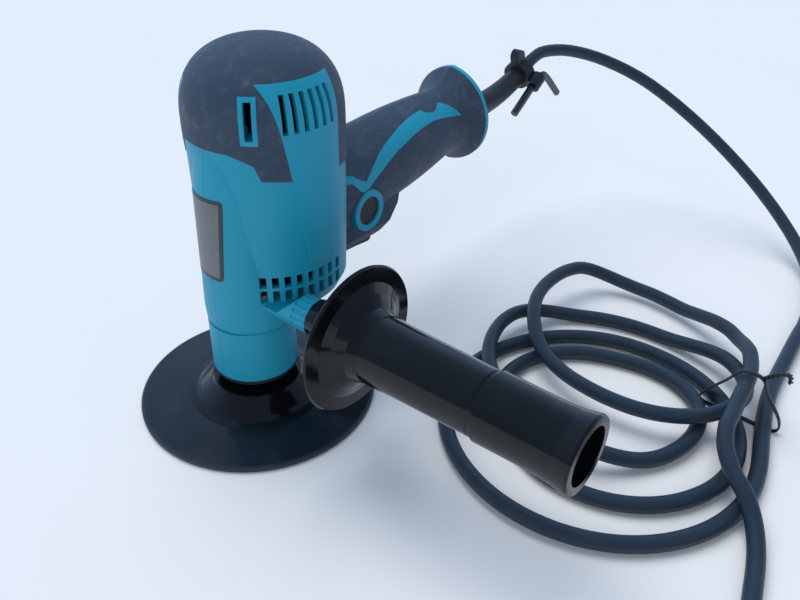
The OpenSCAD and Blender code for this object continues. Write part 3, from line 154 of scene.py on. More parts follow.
# Colours of wear and dirt, and of metals that no user changes
RUBBED_TEAL = (0.12, 0.3, 0.36, 1.0)
DUST = (0.2, 0.22, 0.24, 1.0)
HANDLED_BLACK = (0.12, 0.13, 0.15, 1.0)
SMEAR = (0.014, 0.017, 0.023, 1.0)
BLOOM = (0.03, 0.038, 0.052, 1.0)
SCUFF = (0.09, 0.1, 0.12, 1.0)
PLATE_BORDER = (0.02, 0.024, 0.03, 1.0)
OXIDE_DARK, OXIDE_PALE = (0.2, 0.22, 0.25, 1.0), (0.34, 0.35, 0.37, 1.0)
SHEET_JOINT = (0.05, 0.05, 0.055, 1.0)
VARNISH = (0.2, 0.07, 0.02, 1.0)
SOOT, GLINT = (0.012, 0.012, 0.013, 1.0), (0.07, 0.07, 0.074, 1.0)
BLACKENED = (0.09, 0.092, 0.1)
# Waves of the finishes, in radians per metre: the pad's turning lines, sheets, strands across and up, and the
# cord's cores, round it in its own map and along it
PAD_WAVE, SHEET_WAVE = 9000.0, 12566.0
STRAND_WAVE, CORE_WAVE = (7000.0, 3200.0), (12.566, 78.0)
# Radii where the pad's rubbed rim begins and is full, and half the width of a parting line, in metres
PAD_RIM = (0.0588, 0.0606)
SEAM_HALF = 0.00008


def colour_property(name, description, default):
    """A colour that a user can change."""
    return bpy.props.FloatVectorProperty(name=name, description=description, subtype="COLOR", default=default)


def length_property(name, description, default):
    """A length that a user can change."""
    return bpy.props.FloatProperty(name=name, description=description, unit="LENGTH", default=default)


class FinishColours(bpy.types.PropertyGroup):
    """Colours of the moulded, rubber and metal finishes."""

    teal: colour_property("Body teal", "Hard moulded shell and inlays", (0.011, 0.29, 0.43))
    soft: colour_property("Soft grey", "Soft overmould on cap and handle", (0.034, 0.055, 0.09))
    black: colour_property("Satin black", "Trigger, lock button, guard and plug", (0.012, 0.014, 0.018))
    gloss: colour_property("Gloss black", "Side handle and pad hub", (0.004, 0.0045, 0.006))
    rubber: colour_property("Pad rubber", "Backing pad", (0.009, 0.014, 0.021))
    cord: colour_property("Cord black", "Outer skin of the cord", (0.014, 0.026, 0.043))
    plate: colour_property("Plate grey", "Bare plate on the front", (0.15, 0.16, 0.18))
    steel: colour_property("Steel", "Turned and ground steel", (0.56, 0.57, 0.58))
    casting: colour_property("Casting", "Die-cast gear case", (0.5, 0.51, 0.52))
    copper: colour_property("Copper", "Commutator bars", (0.72, 0.32, 0.17))
    enamel: colour_property("Enamelled wire", "Windings", (0.42, 0.12, 0.035))
    bronze: colour_property("Bronze", "Spindle bush", (0.55, 0.38, 0.16))
    floor: colour_property("Floor", "Pale floor", (0.75, 0.75, 0.75))


class CordSizes(bpy.types.PropertyGroup):
    """Sizes of the cord, its guard, the key, the springs and the plate."""

    diameter: length_property("Cord diameter", "Outside diameter of the cord", 2 * CORD_R * MM)
    sides: bpy.props.IntProperty(name="Cord sides", description="Points round the cord", default=20, min=12)
    guard_foot: length_property("Guard foot radius", "Guard radius at the handle", 0.008)
    guard_tip: length_property("Guard tip radius", "Guard radius at its free end", 0.006)
    key_radius: length_property("Key radius", "Corner radius of the hexagon key", 0.0024)
    wire: length_property("Spring wire", "Diameter of the spring wire", 0.0008)
    plate_lift: length_property("Plate thickness", "How far the plate stands off the shell", 0.0003)


class StageSettings(bpy.types.PropertyGroup):
    """Camera, floor and lights."""

    lens: bpy.props.FloatProperty(name="Focal length",
                                  description="Focal length on a 36 mm sensor, in millimetres",
                                  default=35.213)
    floor_reach: length_property("Floor reach", "Half the floor's width", 4.0)
    key: bpy.props.FloatProperty(name="Key light",
                                 description="Light from above and behind, in watts per square metre",
                                 default=2.2)
    fill: bpy.props.FloatProperty(name="Fill light",
                                  description="Light from the front, in watts per square metre",
                                  default=0.95)
    softness: bpy.props.FloatProperty(name="Softness",
                                      description="How wide the lights are, seen from the tool",
                                      subtype="ANGLE", default=0.85)
    sky: bpy.props.FloatProperty(name="Sky", description="Strength of the light from all round", default=0.74)


class Wire:
    """A shader socket: arithmetic on it adds Math nodes to its tree."""

    def __init__(self, tree, socket):
        self.tree = tree
        self.socket = socket

    def node(self, kind, settings, inputs, out=0):
        """Adds a node of that type: its settings first, then the values or links of its sockets."""
        made = self.tree.nodes.new(kind)
        for name, value in settings.items():
            setattr(made, name, value)
        for name, value in inputs.items():
            if isinstance(value, Wire):
                self.tree.links.new(value.socket, made.inputs[name])
            else:
                made.inputs[name].default_value = value
        return Wire(self.tree, made.outputs[out])

    def math(self, operation, first, second=0.0):
        return self.node("ShaderNodeMath", {"operation": operation}, {0: first, 1: second})

    def __add__(self, other):
        return self.math("ADD", self, other)

    __radd__ = __add__

    def __sub__(self, other):
        return self.math("SUBTRACT", self, other)

    def __rsub__(self, other):
        return self.math("SUBTRACT", other, self)

    def __mul__(self, other):
        return self.math("MULTIPLY", self, other)

    __rmul__ = __mul__


def noise(at, scale, detail=2.0, roughness=0.5):
    """Fractal noise from 0 to 1 with features about 1 / scale metres wide."""
    return at.node("ShaderNodeTexNoise", {}, {"Vector": at, "Scale": scale, "Detail": detail,
                                              "Roughness": roughness})


def step(value, low, high):
    """0 below low, 1 above high, and an eased rise between them."""
    return value.node("ShaderNodeMapRange", {"interpolation_type": "SMOOTHSTEP"},
                      {"Value": value, "From Min": low, "From Max": high, "To Min": 0.0, "To Max": 1.0})


def blend_colours(factor, first, second):
    return factor.node("ShaderNodeMix", {"data_type": "RGBA"}, {0: factor, 6: first, 7: second}, out=2)


def parts_of(at):
    """The x, y and z of a position."""
    return [at.node("ShaderNodeSeparateXYZ", {}, {"Vector": at}, out=i) for i in range(3)]


def stretched(at, along):
    """Positions scaled by the three factors, so that a pattern is drawn out along one axis."""
    return at.node("ShaderNodeVectorMath", {"operation": "MULTIPLY"}, {0: at, 1: along})


def shade(colour, factor):
    """A fixed colour made lighter or darker, with full alpha."""
    return tuple(min(1.0, c * factor) for c in colour[:3]) + (1.0,)


def open_finish(name, settings):
    """A new material whose constant sockets are set, with the shader and the object positions to paint by."""
    made = bpy.data.materials.new(name)
    made.use_nodes = True
    shader = made.node_tree.nodes["Principled BSDF"]
    for socket, value in settings.items():
        shader.inputs[socket].default_value = value
    places = made.node_tree.nodes.new("ShaderNodeTexCoord")
    return made, shader, Wire(made.node_tree, places.outputs["Object"])


def close_finish(made, shader, colour, rough, height, strength, depth):
    """Links what varies over the surface: colour, roughness and a bump from the height."""
    links = made.node_tree.links
    links.new(colour.socket, shader.inputs["Base Color"])
    links.new(rough.socket, shader.inputs["Roughness"])
    bump = colour.node("ShaderNodeBump", {}, {"Strength": strength, "Distance": depth, "Height": height})
    links.new(bump.socket, shader.inputs["Normal"])
    return made


def own_map(made):
    """The piece's own map in that material."""
    places = made.node_tree.nodes.new("ShaderNodeTexCoord")
    return Wire(made.node_tree, places.outputs["UV"])


def parting_line(at, edge):
    """1 in the middle plane, where the halves of a moulding meet, and 0 further off than the edge."""
    return 1 - step(at.math("ABSOLUTE", parts_of(at)[1]), SEAM_HALF, edge)


def broken_line(x, points):
    """Height of a broken line over x: its first height plus the rise of each of its pieces as far as x."""
    height = points[0][1] * MM
    for (x0, z0), (x1, z1) in zip(points, points[1:]):
        spans = {"From Min": x0 * MM, "From Max": x1 * MM, "To Min": 0.0, "To Max": (z1 - z0) * MM}
        height = height + x.node("ShaderNodeMapRange", {}, {"Value": x, **spans})
    return height


def stripe_on_handle(at):
    """1 between the two edges of the handle's stripe in side view, and 0 outside them."""
    x, _, z = parts_of(at)
    above = step(z - broken_line(x, STRIPE_FOOT), -STRIPE_BLUR, STRIPE_BLUR)
    below = step(broken_line(x, STRIPE_TOP) - z, -STRIPE_BLUR, STRIPE_BLUR)
    return above * below


def on_grip(at):
    """1 on the handle's sides between the body and the end rim, and 0 on the lock collar."""
    x, _, z = parts_of(at)
    from_lock = at.math("POWER", x - LOCK_AT[0] * MM, 2.0) + at.math("POWER", z - LOCK_AT[1] * MM, 2.0)
    off_collar = step(from_lock, (LOCK_COLLAR_R * MM) ** 2, ((LOCK_COLLAR_R + 0.1) * MM) ** 2)
    start, end = HANDLE_REACH
    return off_collar * step(x, start * MM, (start + 0.1) * MM) * (1 - step(x, end * MM, (end + 0.1) * MM))


def colour_of(name):
    return tuple(getattr(bpy.context.scene.polisher_finish, name))


def teal_moulding():
    """Spark-eroded grain, faint flow marks, rubbed patches and a parting line in the middle plane, darkened
    with painted shade; on the handle it keeps to the stripe and is grey beside it."""
    made, shader, at = open_finish("teal_moulding", {"Specular IOR Level": 0.36})
    teal = colour_of("teal")
    flow = noise(stretched(at, (30, 30, 9)), 1.0, 3.0)
    grain = noise(at, 2600, 2.0, 0.6)
    rubbed = step(noise(at, 85, 5.0, 0.7), 0.64, 0.78)
    seam = parting_line(at, 0.00026)
    beside = on_grip(at) * (1 - stripe_on_handle(at))
    paint = blend_colours(flow, shade(teal, 0.9), shade(teal, 1.1))
    paint = blend_colours(rubbed * 0.18, paint, RUBBED_TEAL)
    # Painted shade: the parting line where the halves meet is darkened with a darker copy of the teal
    paint = blend_colours(seam * 0.55, paint, shade(teal, 0.25))
    paint = blend_colours(beside, paint, shade(colour_of("soft"), 1.0))
    rough = 0.4 + grain * 0.12 + rubbed * 0.1 + beside * 0.2
    return close_finish(made, shader, paint, rough, grain - seam * 1.5, 0.22, 0.00012)


def soft_overmould():
    """Matte rubber-like skin: fine leathery cells, paler dust in the grain, patches smoothed by handling, and
    the smoother stripe on the handle."""
    made, shader, at = open_finish("soft_overmould", {"Specular IOR Level": 0.3, "Sheen Weight": 0.04,
                                                      "Sheen Roughness": 0.5})
    soft, teal = colour_of("soft"), colour_of("teal")
    cells = at.node("ShaderNodeTexVoronoi", {"feature": "SMOOTH_F1"}, {"Vector": at, "Scale": 1500.0})
    broad = noise(at, 26, 4.0, 0.6)
    dust = step(noise(at, 210, 4.0, 0.7), 0.5, 0.78)
    handled = step(noise(at, 75, 5.0, 0.65), 0.5, 0.72)
    seam = parting_line(at, 0.00024)
    stripe = stripe_on_handle(at) * on_grip(at)
    paint = blend_colours(broad, shade(soft, 0.8), shade(soft, 1.2))
    paint = blend_colours(dust * 0.2 + handled * 0.1, paint, DUST)
    # Painted shade: the parting line where the halves meet is darkened with a darker copy of the grey
    paint = blend_colours(seam * 0.5, paint, shade(soft, 0.3))
    paint = blend_colours(stripe, paint, blend_colours(broad, shade(teal, 0.92), shade(teal, 1.08)))
    rough = 0.62 + cells * 0.12 - broad * 0.08 - handled * 0.1 - stripe * 0.16
    return close_finish(made, shader, paint, rough, cells * (1 - stripe * 0.7) - seam * 1.2, 0.35, 0.00015)


def satin_black():
    """Black nylon moulding with a fine etched grain and faint grey handling marks."""
    made, shader, at = open_finish("satin_black", {"Specular IOR Level": 0.45})
    black = colour_of("black")
    grain = noise(at, 2200, 3.0, 0.6)
    marks = step(noise(stretched(at, (160, 60, 240)), 1.0, 4.0, 0.7), 0.58, 0.76)
    paint = blend_colours(noise(at, 40, 3.0), shade(black, 0.75), shade(black, 1.35))
    paint = blend_colours(marks * 0.14, paint, HANDLED_BLACK)
    return close_finish(made, shader, paint, 0.38 + grain * 0.14 + marks * 0.08, grain, 0.18, 0.0001)


def gloss_black():
    """Polished black moulding: slow waviness, hairline scratches along it, and dull finger smears."""
    made, shader, at = open_finish("gloss_black", {"Specular IOR Level": 0.36})
    gloss = colour_of("gloss")
    wave = noise(at, 60, 2.0)
    hair = step(noise(stretched(at, (900, 35, 900)), 1.0, 4.0, 0.75), 0.62, 0.74)
    smear = step(noise(at, 44, 4.0, 0.65), 0.54, 0.76)
    paint = blend_colours(smear * 0.25 + hair * 0.1, shade(gloss, 0.8), SMEAR)
    rough = 0.11 + smear * 0.13 + hair * 0.08
    return close_finish(made, shader, paint, rough, wave + hair * 0.04, 0.2, 0.0005)


def pad_rubber():
    """Smooth moulded rubber disc: faint concentric turning lines, cloudy bloom and a pale, rubbed rim."""
    made, shader, at = open_finish("pad_rubber", {"Specular IOR Level": 0.36})
    rubber = colour_of("rubber")
    x, y, _ = parts_of(at)
    radius = at.math("SQRT", x * x + y * y)
    lines = at.math("SINE", radius * PAD_WAVE) * 0.5 + 0.5
    bloom = step(noise(at, 36, 5.0, 0.6), 0.44, 0.76)
    rim = step(radius, *PAD_RIM)
    grain = noise(at, 1300, 3.0, 0.6)
    paint = blend_colours(bloom * 0.35 + rim * 0.5, shade(rubber, 0.8), BLOOM)
    rough = 0.17 + bloom * 0.1 + grain * 0.05 + rim * 0.2
    return close_finish(made, shader, paint, rough, lines * 0.3 + grain, 0.07, 0.00008)


def cord_skin():
    """Extruded cord skin: drawn lines along it, a slow twist of the cores showing through, and scuffs."""
    made, shader, at = open_finish("cord_skin", {"Specular IOR Level": 0.42})
    black = colour_of("cord")
    lay = own_map(made)
    around, along, _ = parts_of(lay)
    drawn = noise(stretched(lay, (60, 4, 1)), 1.0, 3.0)
    cores = at.math("SINE", around * CORE_WAVE[0] + along * CORE_WAVE[1]) * 0.5 + 0.5
    grain = noise(at, 1500, 3.0, 0.6)
    scuff = step(noise(at, 150, 4.0, 0.7), 0.56, 0.76)
    paint = blend_colours(drawn, shade(black, 0.8), shade(black, 1.3))
    paint = blend_colours(scuff * 0.2, paint, SCUFF)
    rough = 0.4 + grain * 0.12 + scuff * 0.1
    return close_finish(made, shader, paint, rough, cores * 0.8 + drawn * 0.5 + grain * 0.3, 0.2, 0.00022)


def plate_film():
    """A bare satin plate: brushed silver-grey field with smudges in a charcoal border, from its own map."""
    made, shader, at = open_finish("plate_film", {"Specular IOR Level": 0.5})
    grey = colour_of("plate")
    wide, tall, _ = parts_of(own_map(made))
    side = PLATE_HALF[0] - at.math("ABSOLUTE", wide - 0.5) * (2 * PLATE_HALF[0])
    end = PLATE_HALF[1] - at.math("ABSOLUTE", tall - 0.5) * (2 * PLATE_HALF[1])
    margin = at.math("MINIMUM", side, end)
    border = 1 - step(margin, 1.7, 1.85)
    brushed = noise(stretched(at, (400, 400, 4000)), 1.0, 3.0)
    smudge = step(noise(at, 160, 4.0, 0.65), 0.46, 0.72)
    paint = blend_colours(brushed * 0.6 + smudge * 0.4, shade(grey, 0.75), shade(grey, 1.2))
    paint = blend_colours(border * 0.92, paint, PLATE_BORDER)
    rough = 0.32 + brushed * 0.16 + smudge * 0.1
    return close_finish(made, shader, paint, rough, brushed - border, 0.08, 0.00005)


def turned_steel(name, colour, rough_low):
    """Turned metal: fine rings along its length, a soft grain and slightly dull stains."""
    made, shader, at = open_finish(name, {"Metallic": 1.0})
    rings = noise(stretched(at, (250, 250, 6000)), 1.0, 2.0)
    stain = step(noise(at, 120, 4.0, 0.6), 0.5, 0.78)
    paint = blend_colours(rings * 0.5 + stain * 0.5, shade(colour, 1.1), shade(colour, 0.72))
    return close_finish(made, shader, paint, rough_low + rings * 0.12 + stain * 0.14, rings, 0.12, 0.00006)


def cast_metal():
    """Pressure die casting: sandy skin, darker hollows and a few bright rubbed spots."""
    made, shader, at = open_finish("cast_metal", {"Metallic": 0.9})
    casting = colour_of("casting")
    sand = noise(at, 1100, 4.0, 0.65)
    cloud = noise(at, 70, 4.0, 0.6)
    paint = blend_colours(cloud * 0.6 + sand * 0.4, shade(casting, 0.65), shade(casting, 1.15))
    return close_finish(made, shader, paint, 0.42 + sand * 0.18, sand, 0.3, 0.0002)


def stacked_sheets():
    """Stack of 0.5 mm stamped sheets: thin dark joints and a bluish oxide that drifts from sheet to sheet."""
    made, shader, at = open_finish("stacked_sheets", {"Metallic": 0.85})
    z = parts_of(at)[2]
    joint = step(at.math("SINE", z * SHEET_WAVE), 0.72, 0.95)
    drift = noise(stretched(at, (30, 30, 2000)), 1.0, 2.0)
    paint = blend_colours(drift, OXIDE_DARK, OXIDE_PALE)
    paint = blend_colours(joint * 0.75, paint, SHEET_JOINT)
    return close_finish(made, shader, paint, 0.42 + drift * 0.15, drift - joint, 0.4, 0.0001)


def wound_wire():
    """Enamelled wire: close slanting strands, painted highlights on crowns, painted shade in gaps, dabs of
    varnish.
    """
    made, shader, at = open_finish("wound_wire", {"Metallic": 0.6})
    enamel = colour_of("enamel")
    x, y, z = parts_of(at)
    strand = at.math("SINE", (x + y) * STRAND_WAVE[0] + z * STRAND_WAVE[1]) * 0.5 + 0.5
    varnish = step(noise(at, 260, 3.0), 0.45, 0.7)
    # Painted highlight on each strand's crown and painted shade in the gaps between strands, following the
    # bump's height
    paint = blend_colours(strand, shade(enamel, 0.35), shade(enamel, 1.3))
    paint = blend_colours(varnish * 0.35, paint, VARNISH)
    return close_finish(made, shader, paint, 0.3 + varnish * 0.12, strand, 0.6, 0.00025)


def commutator_bars():
    """Drawn copper, dulled to brown by the brushes in a band of fine rings."""
    made, shader, at = open_finish("commutator_bars", {"Metallic": 1.0})
    copper = colour_of("copper")
    rings = noise(stretched(at, (200, 200, 5000)), 1.0, 3.0)
    tarnish = noise(at, 130, 4.0, 0.6)
    paint = blend_colours(rings * 0.5 + tarnish * 0.5, shade(copper, 0.45), shade(copper, 1.1))
    return close_finish(made, shader, paint, 0.25 + tarnish * 0.2, rings, 0.15, 0.00006)


def carbon_block():
    """Pressed carbon: sooty speckle with a faint metallic glint."""
    made, shader, at = open_finish("carbon_block", {"Metallic": 0.25})
    speck = noise(at, 1800, 3.0, 0.7)
    paint = blend_colours(speck, SOOT, GLINT)
    return close_finish(made, shader, paint, 0.5 + speck * 0.2, speck, 0.25, 0.0001)


def pale_floor():
    """Pale painted table top: broad cloudy tint, faint grey stains and a very fine tooth."""
    made, shader, at = open_finish("pale_floor", {"Specular IOR Level": 0.25})
    pale = colour_of("floor")
    cloud = noise(at, 3.2, 4.0, 0.55)
    stain = step(noise(at, 13, 6.0, 0.62), 0.56, 0.82)
    tooth = noise(at, 620, 3.0, 0.6)
    paint = blend_colours(cloud, shade(pale, 0.96), shade(pale, 1.03))
    paint = blend_colours(stain * 0.1, paint, shade(pale, 0.72))
    return close_finish(made, shader, paint, 0.55 + tooth * 0.15, tooth, 0.08, 0.0003)


RECIPES = {
    "teal": teal_moulding,
    "soft": soft_overmould,
    "satin": satin_black,
    "gloss": gloss_black,
    "rubber": pad_rubber,
    "cord": cord_skin,
    "plate": plate_film,
    "steel": lambda: turned_steel("turned_steel", colour_of("steel"), 0.2),
    "dark_steel": lambda: turned_steel("blackened_steel", BLACKENED, 0.34),
    "bronze": lambda: turned_steel("sintered_bronze", colour_of("bronze"), 0.36),
    "casting": cast_metal,
    "sheets": stacked_sheets,
    "winding": wound_wire,
    "copper": commutator_bars,
    "carbon": carbon_block,
    "floor": pale_floor,
}


def finish_of(name):
    """The material of that finish, made the first time it is asked for."""
    key = "finish_" + name
    made = bpy.data.materials.get(key)
    if made is None:
        made = RECIPES[name]()
        made.name = key
    return made


def dress(finish, *nodes):
    """Puts one finish on the named solids."""
    for node in nodes:
        slots = NODES[node].data.materials
        slots.clear()
        slots.append(finish_of(finish))


def smooth_line(points, steps):
    """Line through route points: between b and c, with a before and d after them, the point at u is half of
    2b + (c - a)u + (2a - 5b + 4c - d)u^2 + (3b - a - 3c + d)u^3."""
    p = np.asarray(points, float)
    q = np.vstack([p[:1], p, p[-1:]])
    u = (np.arange(steps) / steps)[None, :, None]
    a, b, c, d = (q[i:len(p) - 1 + i, None] for i in range(4))
    run = 0.5 * (2 * b + (c - a) * u + (2 * a - 5 * b + 4 * c - d) * u**2 + (3 * b - a - 3 * c + d) * u**3)
    return np.vstack([run.reshape(-1, p.shape[1]), p[-1:]])


def eased(u):
    """3v^2 - 2v^3 with v held between 0 and 1."""
    v = np.clip(u, 0, 1)
    return v * v * (3 - 2 * v)


def keyed(keys, t):
    """Values between keys, eased from each key to the next."""
    k = np.asarray(keys, float)
    i = np.clip(np.searchsorted(k[:, 0], t, side="left") - 1, 0, len(k) - 2)
    u = (t - k[i, 0]) / (k[i + 1, 0] - k[i, 0])
    return k[i, 1] + (k[i + 1, 1] - k[i, 1]) * eased(u)


def loop_points():
    """Tied loops: after t turns the line is at the tie, plus r(1 - cos 360t) along the loop's direction and
    q r sin 360t across it, where q draws its way back in; direction and r pass from loop to loop as the line
    passes the tie."""
    t = np.linspace(LOOP_SPAN[0], LOOP_SPAN[1], LOOP_RINGS + 1)
    passed = eased((t[:, None] - np.arange(1, len(LOOPS)) + LOOP_MIX) / (2 * LOOP_MIX))
    turn = np.radians(LOOPS[0, 0] + passed @ np.diff(LOOPS[:, 0]))
    reach = LOOPS[0, 1] + passed @ np.diff(LOOPS[:, 1])
    drawn = np.where(t % 1 > 0.5, LOOPS[np.floor(t).astype(int), 2], 1.0)
    out = reach * (1 - np.cos(2 * np.pi * t))
    wide = reach * drawn * np.sin(2 * np.pi * t)
    hump = np.where(t > 0.5, TIE_LIFT * eased(1 - np.abs(t - np.round(t)) / LIFT_SHARE), 0)
    flat = np.stack([out * np.cos(turn) - wide * np.sin(turn), out * np.sin(turn) + wide * np.cos(turn),
                     CORD_R + LEVEL * keyed(RISES, t) + hump], axis=1)
    line = TIE_AT + keyed(SHIFTS, t)[:, None] * TIE_OFF + flat
    line[:ENTRY_RINGS, 2] = entry_height(line[:ENTRY_RINGS, 0])
    return line


def entry_height(x):
    """The line rises a little where it passes under the tie."""
    return CORD_R + TIE_LIFT * eased(1 - np.abs(x - TIE_AT[0]) / ENTRY_REACH)


def cord_path():
    """The whole cord from inside the guard's tip over the table and through the loops to the plug."""
    entry = np.array(COIL_ENTRY, float)
    entry = np.column_stack([entry, entry_height(entry[:, 0])])
    loops = loop_points()
    way = loops[-1] - loops[-2]
    after = loops[-1] + 2 * CORD_R * way / np.linalg.norm(way)
    route = np.vstack([GUARD_ROUTE[-2:], LEAD_ROUTE, entry, loops, after[None], TAIL_ROUTE])
    line = smooth_line(route, steps=4)[2:]
    line[:, 2] = np.maximum(line[:, 2], CORD_R)
    return line * MM


def frames_along(path, up):
    """Two unit vectors across the path at each point: one level with respect to up, one square to both."""
    way = np.gradient(path, axis=0)
    way /= np.linalg.norm(way, axis=1, keepdims=True)
    side = np.cross(way, up)
    side /= np.linalg.norm(side, axis=1, keepdims=True)
    return side, np.cross(side, way)


def angles_round(sides):
    """Equal angles round a full turn."""
    return 2 * np.pi * np.arange(sides) / sides


def rings_along(path, radii, sides, up):
    """Circles round the path's points, of one radius or of a radius for each."""
    side, top = frames_along(path, up)
    a = angles_round(sides)
    circle = np.cos(a)[None, :, None] * side[:, None] + np.sin(a)[None, :, None] * top[:, None]
    return path[:, None] + np.broadcast_to(radii, len(path))[:, None, None] * circle


def grid_quads(rows, cols, rows_close=False, cols_close=True):
    """Faces of a grid of points; a closed direction joins its last line to its first."""
    i = np.arange(rows if rows_close else rows - 1)[:, None]
    j = np.arange(cols if cols_close else cols - 1)[None, :]
    i1, j1 = (i + 1) % rows, (j + 1) % cols
    return np.stack([i * cols + j, i * cols + j1, i1 * cols + j1, i1 * cols + j], axis=-1).reshape(-1, 4)


def new_piece(name, grid, finish, rows_close=False, cols_close=True, uv=None):
    """A mesh piece from a grid of points, with both ends of an open tube capped, faces outwards."""
    rows, cols = grid.shape[:2]
    points = grid.reshape(-1, 3)
    quads = grid_quads(rows, cols, rows_close, cols_close)
    faces = quads.tolist()
    if cols_close and not rows_close:
        faces.append(list(range(cols))[::-1])
        faces.append(list(range((rows - 1) * cols, rows * cols)))
    mesh = bpy.data.meshes.new(name)
    mesh.from_pydata(points.tolist(), [], faces)
    corner = points[quads]
    face_way = np.cross(corner[:, 1] - corner[:, 0], corner[:, 3] - corner[:, 0])
    if np.einsum("ij,ij->", corner.mean(axis=1) - points.mean(axis=0), face_way) < 0:
        mesh.flip_normals()
    if uv is not None:
        layer = mesh.uv_layers.new(name="lay")
        at = np.zeros(len(mesh.loops), np.int32)
        mesh.loops.foreach_get("vertex_index", at)
        layer.data.foreach_set("uv", uv.reshape(-1, 2)[at].astype(np.float32).ravel())
    mesh.polygons.foreach_set("use_smooth", np.ones(len(mesh.polygons), bool))
    mesh.materials.append(finish_of(finish))
    mesh.update()
    piece = bpy.data.objects.new(name, mesh)
    bpy.context.scene.collection.objects.link(piece)
    return piece


def length_uv(path, sides):
    """Map of a tube: round it from 1 to 0 and back, so that it has no seam, and along it in metres."""
    run = np.concatenate([[0], np.cumsum(np.linalg.norm(np.diff(path, axis=0), axis=1))])
    around = np.abs(2 * np.arange(sides) / sides - 1)
    return np.stack(np.broadcast_arrays(around[None, :], run[:, None]), axis=-1)


def front_of_shell(y, z):
    """How far forward the shell is: the lesser x of two circles whose radii follow the height."""
    barrel, front = (np.interp(z, *np.array(line).T) for line in (BARREL, FRONT))
    far = MOTOR_X - np.sqrt(barrel**2 - y**2)
    near = FRONT_X - np.sqrt(np.maximum(front**2 - y**2, 0))
    return np.where(np.abs(y) < front, np.minimum(far, near), far)


class POLISHER_OT_set_stage(bpy.types.Operator):
    """Make the camera, the pale floor and the soft lights"""

    bl_idname = "polisher.set_stage"
    bl_label = "Set stage"

    def execute(self, context):
        scene = context.scene
        stage = scene.polisher_stage
        self.set_camera(scene, stage.lens)
        line = np.linspace(-stage.floor_reach, stage.floor_reach, FLOOR_LINES)
        y, x = np.meshgrid(line, line, indexing="ij")
        floor = new_piece("floor", np.stack([x, y, np.zeros_like(x)], axis=-1), "floor", cols_close=False)
        self.add_light(scene, "key_light", stage.key, stage.softness, KEY_FROM)
        self.add_light(scene, "fill_light", stage.fill, stage.softness, FILL_FROM)
        self.make_sky(scene, stage.sky)
        scene.view_settings.view_transform = "Standard"
        return {"FINISHED"}

    def set_camera(self, scene, lens):
        """The camera at the photograph's angle, with a lens of that focal length."""
        camera = bpy.data.objects.new("camera", bpy.data.cameras.new("camera"))
        camera.data.lens = lens
        camera.data.sensor_width = SENSOR_WIDTH
        camera.data.sensor_fit = "HORIZONTAL"
        camera.data.clip_start = 0.01
        camera.data.clip_end = 60.0
        camera.matrix_world = Matrix(CAMERA)
        scene.collection.objects.link(camera)
        scene.camera = camera

    def add_light(self, scene, name, power, softness, toward):
        """A wide, distant light that lies in the given direction; only the sky shows in reflections."""
        light = bpy.data.lights.new(name, "SUN")
        light.energy = power
        light.angle = softness
        light.color = LIGHT_TINT
        made = bpy.data.objects.new(name, light)
        back = np.array(toward) / np.linalg.norm(toward)
        side = np.cross(UP, back)
        side /= np.linalg.norm(side)
        turn = np.eye(4)
        turn[:3, :3] = np.stack([side, np.cross(back, side), back], axis=1)
        turn[:3, 3] = toward
        made.matrix_world = Matrix(turn.tolist())
        made.visible_glossy = False
        scene.collection.objects.link(made)

    def make_sky(self, scene, strength):
        """A sky with one bright side, which the camera itself sees as the plain backdrop."""
        world = bpy.data.worlds.new("soft_sky")
        world.use_nodes = True
        sky = world.node_tree.nodes["Background"]
        places = world.node_tree.nodes.new("ShaderNodeTexCoord")
        away = Wire(world.node_tree, places.outputs["Generated"])
        x, y, z = parts_of(away)
        facing = x * SKY_TOWARD[0] + y * SKY_TOWARD[1] + z * SKY_TOWARD[2]
        bright = step(facing, *SKY_RISE) * (1 - step(z, *SKY_TOP) * SKY_TOP_DIMMED)
        tint = blend_colours(bright, SKY_DIM, SKY_BRIGHT)
        seen = away.node("ShaderNodeLightPath", {}, {}, out="Is Camera Ray")
        tint = blend_colours(seen, tint, BACKDROP)
        world.node_tree.links.new(tint.socket, sky.inputs["Color"])
        sky.inputs["Strength"].default_value = strength
        scene.world = world


